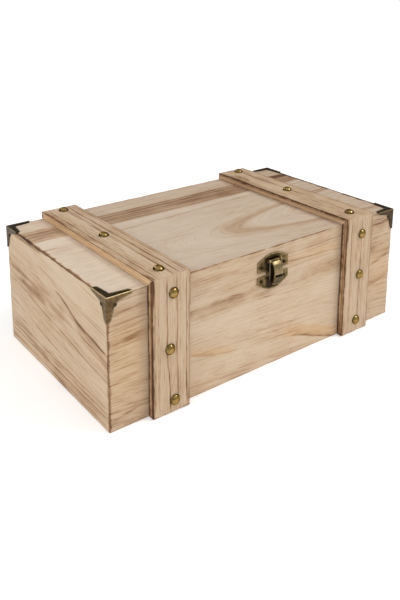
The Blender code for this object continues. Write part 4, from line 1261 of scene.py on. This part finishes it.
HINGE_X, HINGE_Y = 100.0, 99.5
HINGE_RADIUS, HINGE_HOLE, HINGE_LEAF = 2.2, 1.2, 1.1
HINGE_HALF, HINGE_CENTRE, LEAF_END, LEAF_CORNER = 15.0, 5.0, 13.5, 2.2
LEAF_RIM, LEAF_SINK, LEAF_SOFTNESS = 1.2, 0.15, 0.2
TONGUE_ROOT, TONGUE_LAP, TONGUE_GAP = 1.3, 1.0, 0.05
TAB_FAR, TAB_NEAR, TAB_SWING = -6.0, -1.2, math.radians(100)
HINGE_PIN, HINGE_PIN_LENGTH = 0.9, 30.8


def leaf_outline(up, steps=5):
    near = HINGE_RADIUS + FIT_GAP
    outline = [(-HINGE_HALF, up * near), (HINGE_HALF, up * near)]
    for middle, start in ((HINGE_HALF - LEAF_CORNER, 0), (LEAF_CORNER - HINGE_HALF, 90)):
        for step in range(steps + 1):
            angle = math.radians(start + 90 * step / steps)
            height = LEAF_END - LEAF_CORNER + LEAF_CORNER * math.sin(angle)
            outline.append((middle + LEAF_CORNER * math.cos(angle), up * height))
    return outline


def build_leaf(node, axis, up, knuckles):
    shape = bmesh.new()
    rear = -HINGE_RADIUS
    matrix = frame_at(-RIGHTWARD, UPWARD, axis + BACKWARD * (rear + HINGE_LEAF / 2))
    add_sheet(shape, leaf_outline(up), HINGE_LEAF, matrix, LEAF_RIM, LEAF_SINK)
    for start, end in knuckles:
        add_tube(shape, HINGE_RADIUS, HINGE_HOLE, axis.x + start, axis.x + end, axis)
        tip = axis.z + up * (HINGE_RADIUS + FIT_GAP + TONGUE_LAP)
        low, high = sorted((axis.z + up * TONGUE_ROOT, tip))
        near = (axis.x + start + TONGUE_GAP, axis.y + rear, low)
        add_block(shape, near, (axis.x + end - TONGUE_GAP, axis.y + rear + HINGE_LEAF, high))
    if up > 0:
        start, end = knuckles[0]
        inner = rear + HINGE_LEAF + FIT_GAP
        tab = add_block(shape, (start, inner, TAB_FAR), (end, inner + HINGE_LEAF, TAB_NEAR))
        swing = Matrix.Translation(axis) @ Matrix.Rotation(TAB_SWING, 4, "X")
        bmesh.ops.transform(shape, matrix=swing, verts=tab)
    dress_shape(node, shape, (hinge_metal, hinge_metal), LEAF_SOFTNESS)


def build_hinges():
    outer = ((-HINGE_HALF, -HINGE_CENTRE - FIT_GAP), (HINGE_CENTRE + FIT_GAP, HINGE_HALF))
    inner = ((-HINGE_CENTRE, HINGE_CENTRE),)
    for name, side in (("left", -1), ("right", 1)):
        axis = Vector((side * HINGE_X, HINGE_Y, SEAM_Z))
        build_leaf(f"hinge_{name}_base_leaf", axis, -1, outer)
        build_leaf(f"hinge_{name}_lid_leaf", axis, 1, inner)
        build_pin(f"hinge_{name}_pin", HINGE_PIN, HINGE_PIN_LENGTH, axis)


build_box()
build_straps()
build_nails()
for corner_back, corner_row in ((-1, "front"), (1, "back")):
    for corner_right, corner_end in ((-1, "left"), (1, "right")):
        build_bracket(f"corner_bracket_{corner_row}_{corner_end}", corner_right, corner_back)
build_latch()
build_hinges()


# Studio, in metres

# Where light fades across the world: from, to, and the levels at both
BEHIND_FADE, OVERHEAD_FADE = (-0.5, 0.4, 0.58, 0.14), (0.35, 0.9, 0.0, 0.52)
FLOOR_HALF, FLOOR_Z, FLOOR_ROUGHNESS = 6.0, -0.0004, 0.9
FLOOR_FADE = (350.0, 1100.0)
PAPER = ((0.92, 0.92, 0.92), (0.94, 0.94, 0.94))
PAPER_LIGHT, FAR_LIGHT = 0.25, 1.0
LIGHT_AIM = Vector((0, 0, 0.05))
LIGHTS = (
    ("key", (1.2, -1.1, 1.8), 0.8, 17.5, (1.0, 0.99, 0.975)),
    ("fill", (-1.8, -0.3, 0.9), 1.4, 12.5, (1.0, 0.99, 0.98)),
    ("back", (-0.5, 2.0, 1.5), 0.8, 7.0, WHITE),
)
CAMERA_PLACE = (-0.42558, -0.53748, 0.37007)
CAMERA_AZIMUTH, CAMERA_ELEVATION = math.radians(-36.281), math.radians(13.062)
CAMERA_SENSOR, CAMERA_LENS, CAMERA_SHIFT = 36.0, 42.359, (0.03, -0.2833)
CAMERA_NEAR, CAMERA_FAR = 0.01, 60.0


def build_world():
    """A soft studio, darker behind the chest than before it. The camera itself sees plain white."""
    world = bpy.data.worlds.new("studio")
    bpy.context.scene.world = world
    world.use_nodes = True
    s = Nodes(world.node_tree)
    axis = s.split(s.add("TexCoord").outputs["Generated"])
    light = s.sum(s.span(axis[Y], *BEHIND_FADE), s.span(axis[Z], *OVERHEAD_FADE))
    seen = s.add("LightPath").outputs["Is Camera Ray"]
    backdrop = world.node_tree.nodes["Background"]
    s.feed(backdrop.inputs["Strength"], s.most(seen, light))
    backdrop.inputs["Color"].default_value = (*WHITE, 1.0)


def build_floor():
    shape = bmesh.new()
    bmesh.ops.create_grid(shape, x_segments=2, y_segments=2, size=FLOOR_HALF)
    floor = bpy.data.objects.new("floor", mesh_from("floor", shape))
    floor.location.z = FLOOR_Z
    bpy.context.scene.collection.objects.link(floor)
    s = Shade("floor_paper")
    far = s.span(s.length(s.axis[X], s.axis[Y]), *FLOOR_FADE)
    paper = s.ramp(s.noise(s.place, scale=0.02, detail=2.0), [(0.0, PAPER[0]), (1.0, PAPER[1])])
    s.look({
        "Base Color": s.blend(far, paper, (0.0, 0.0, 0.0)),
        "Roughness": FLOOR_ROUGHNESS,
        "Specular IOR Level": 0.0,
        "Emission Color": (*WHITE, 1.0),
        "Emission Strength": s.line(far, FAR_LIGHT - PAPER_LIGHT, PAPER_LIGHT),
    })
    floor.data.materials.append(s.material)


def hang(name, data, place, back):
    """Puts a light or camera at a place, with its back this way."""
    thing = bpy.data.objects.new(name, data)
    thing.location = place
    thing.rotation_euler = back.to_track_quat("Z", "Y").to_euler()
    bpy.context.scene.collection.objects.link(thing)
    return thing


def build_lights():
    for name, place, size, energy, colour in LIGHTS:
        data = bpy.data.lights.new(name, "AREA")
        data.shape = "DISK"
        data.size = size
        data.energy = energy
        data.color = colour
        hang(name, data, place, Vector(place) - LIGHT_AIM)


def build_camera():
    level = math.cos(CAMERA_ELEVATION)
    back = Vector((
        math.sin(CAMERA_AZIMUTH) * level, -math.cos(CAMERA_AZIMUTH) * level, math.sin(CAMERA_ELEVATION),
    ))
    data = bpy.data.cameras.new("photo")
    data.sensor_width = CAMERA_SENSOR
    data.lens = CAMERA_LENS
    data.shift_x, data.shift_y = CAMERA_SHIFT
    data.clip_start = CAMERA_NEAR
    data.clip_end = CAMERA_FAR
    bpy.context.scene.camera = hang("photo", data, CAMERA_PLACE, back)


bpy.context.scene.view_settings.view_transform = "Standard"
build_world()
build_floor()
build_lights()
build_camera()
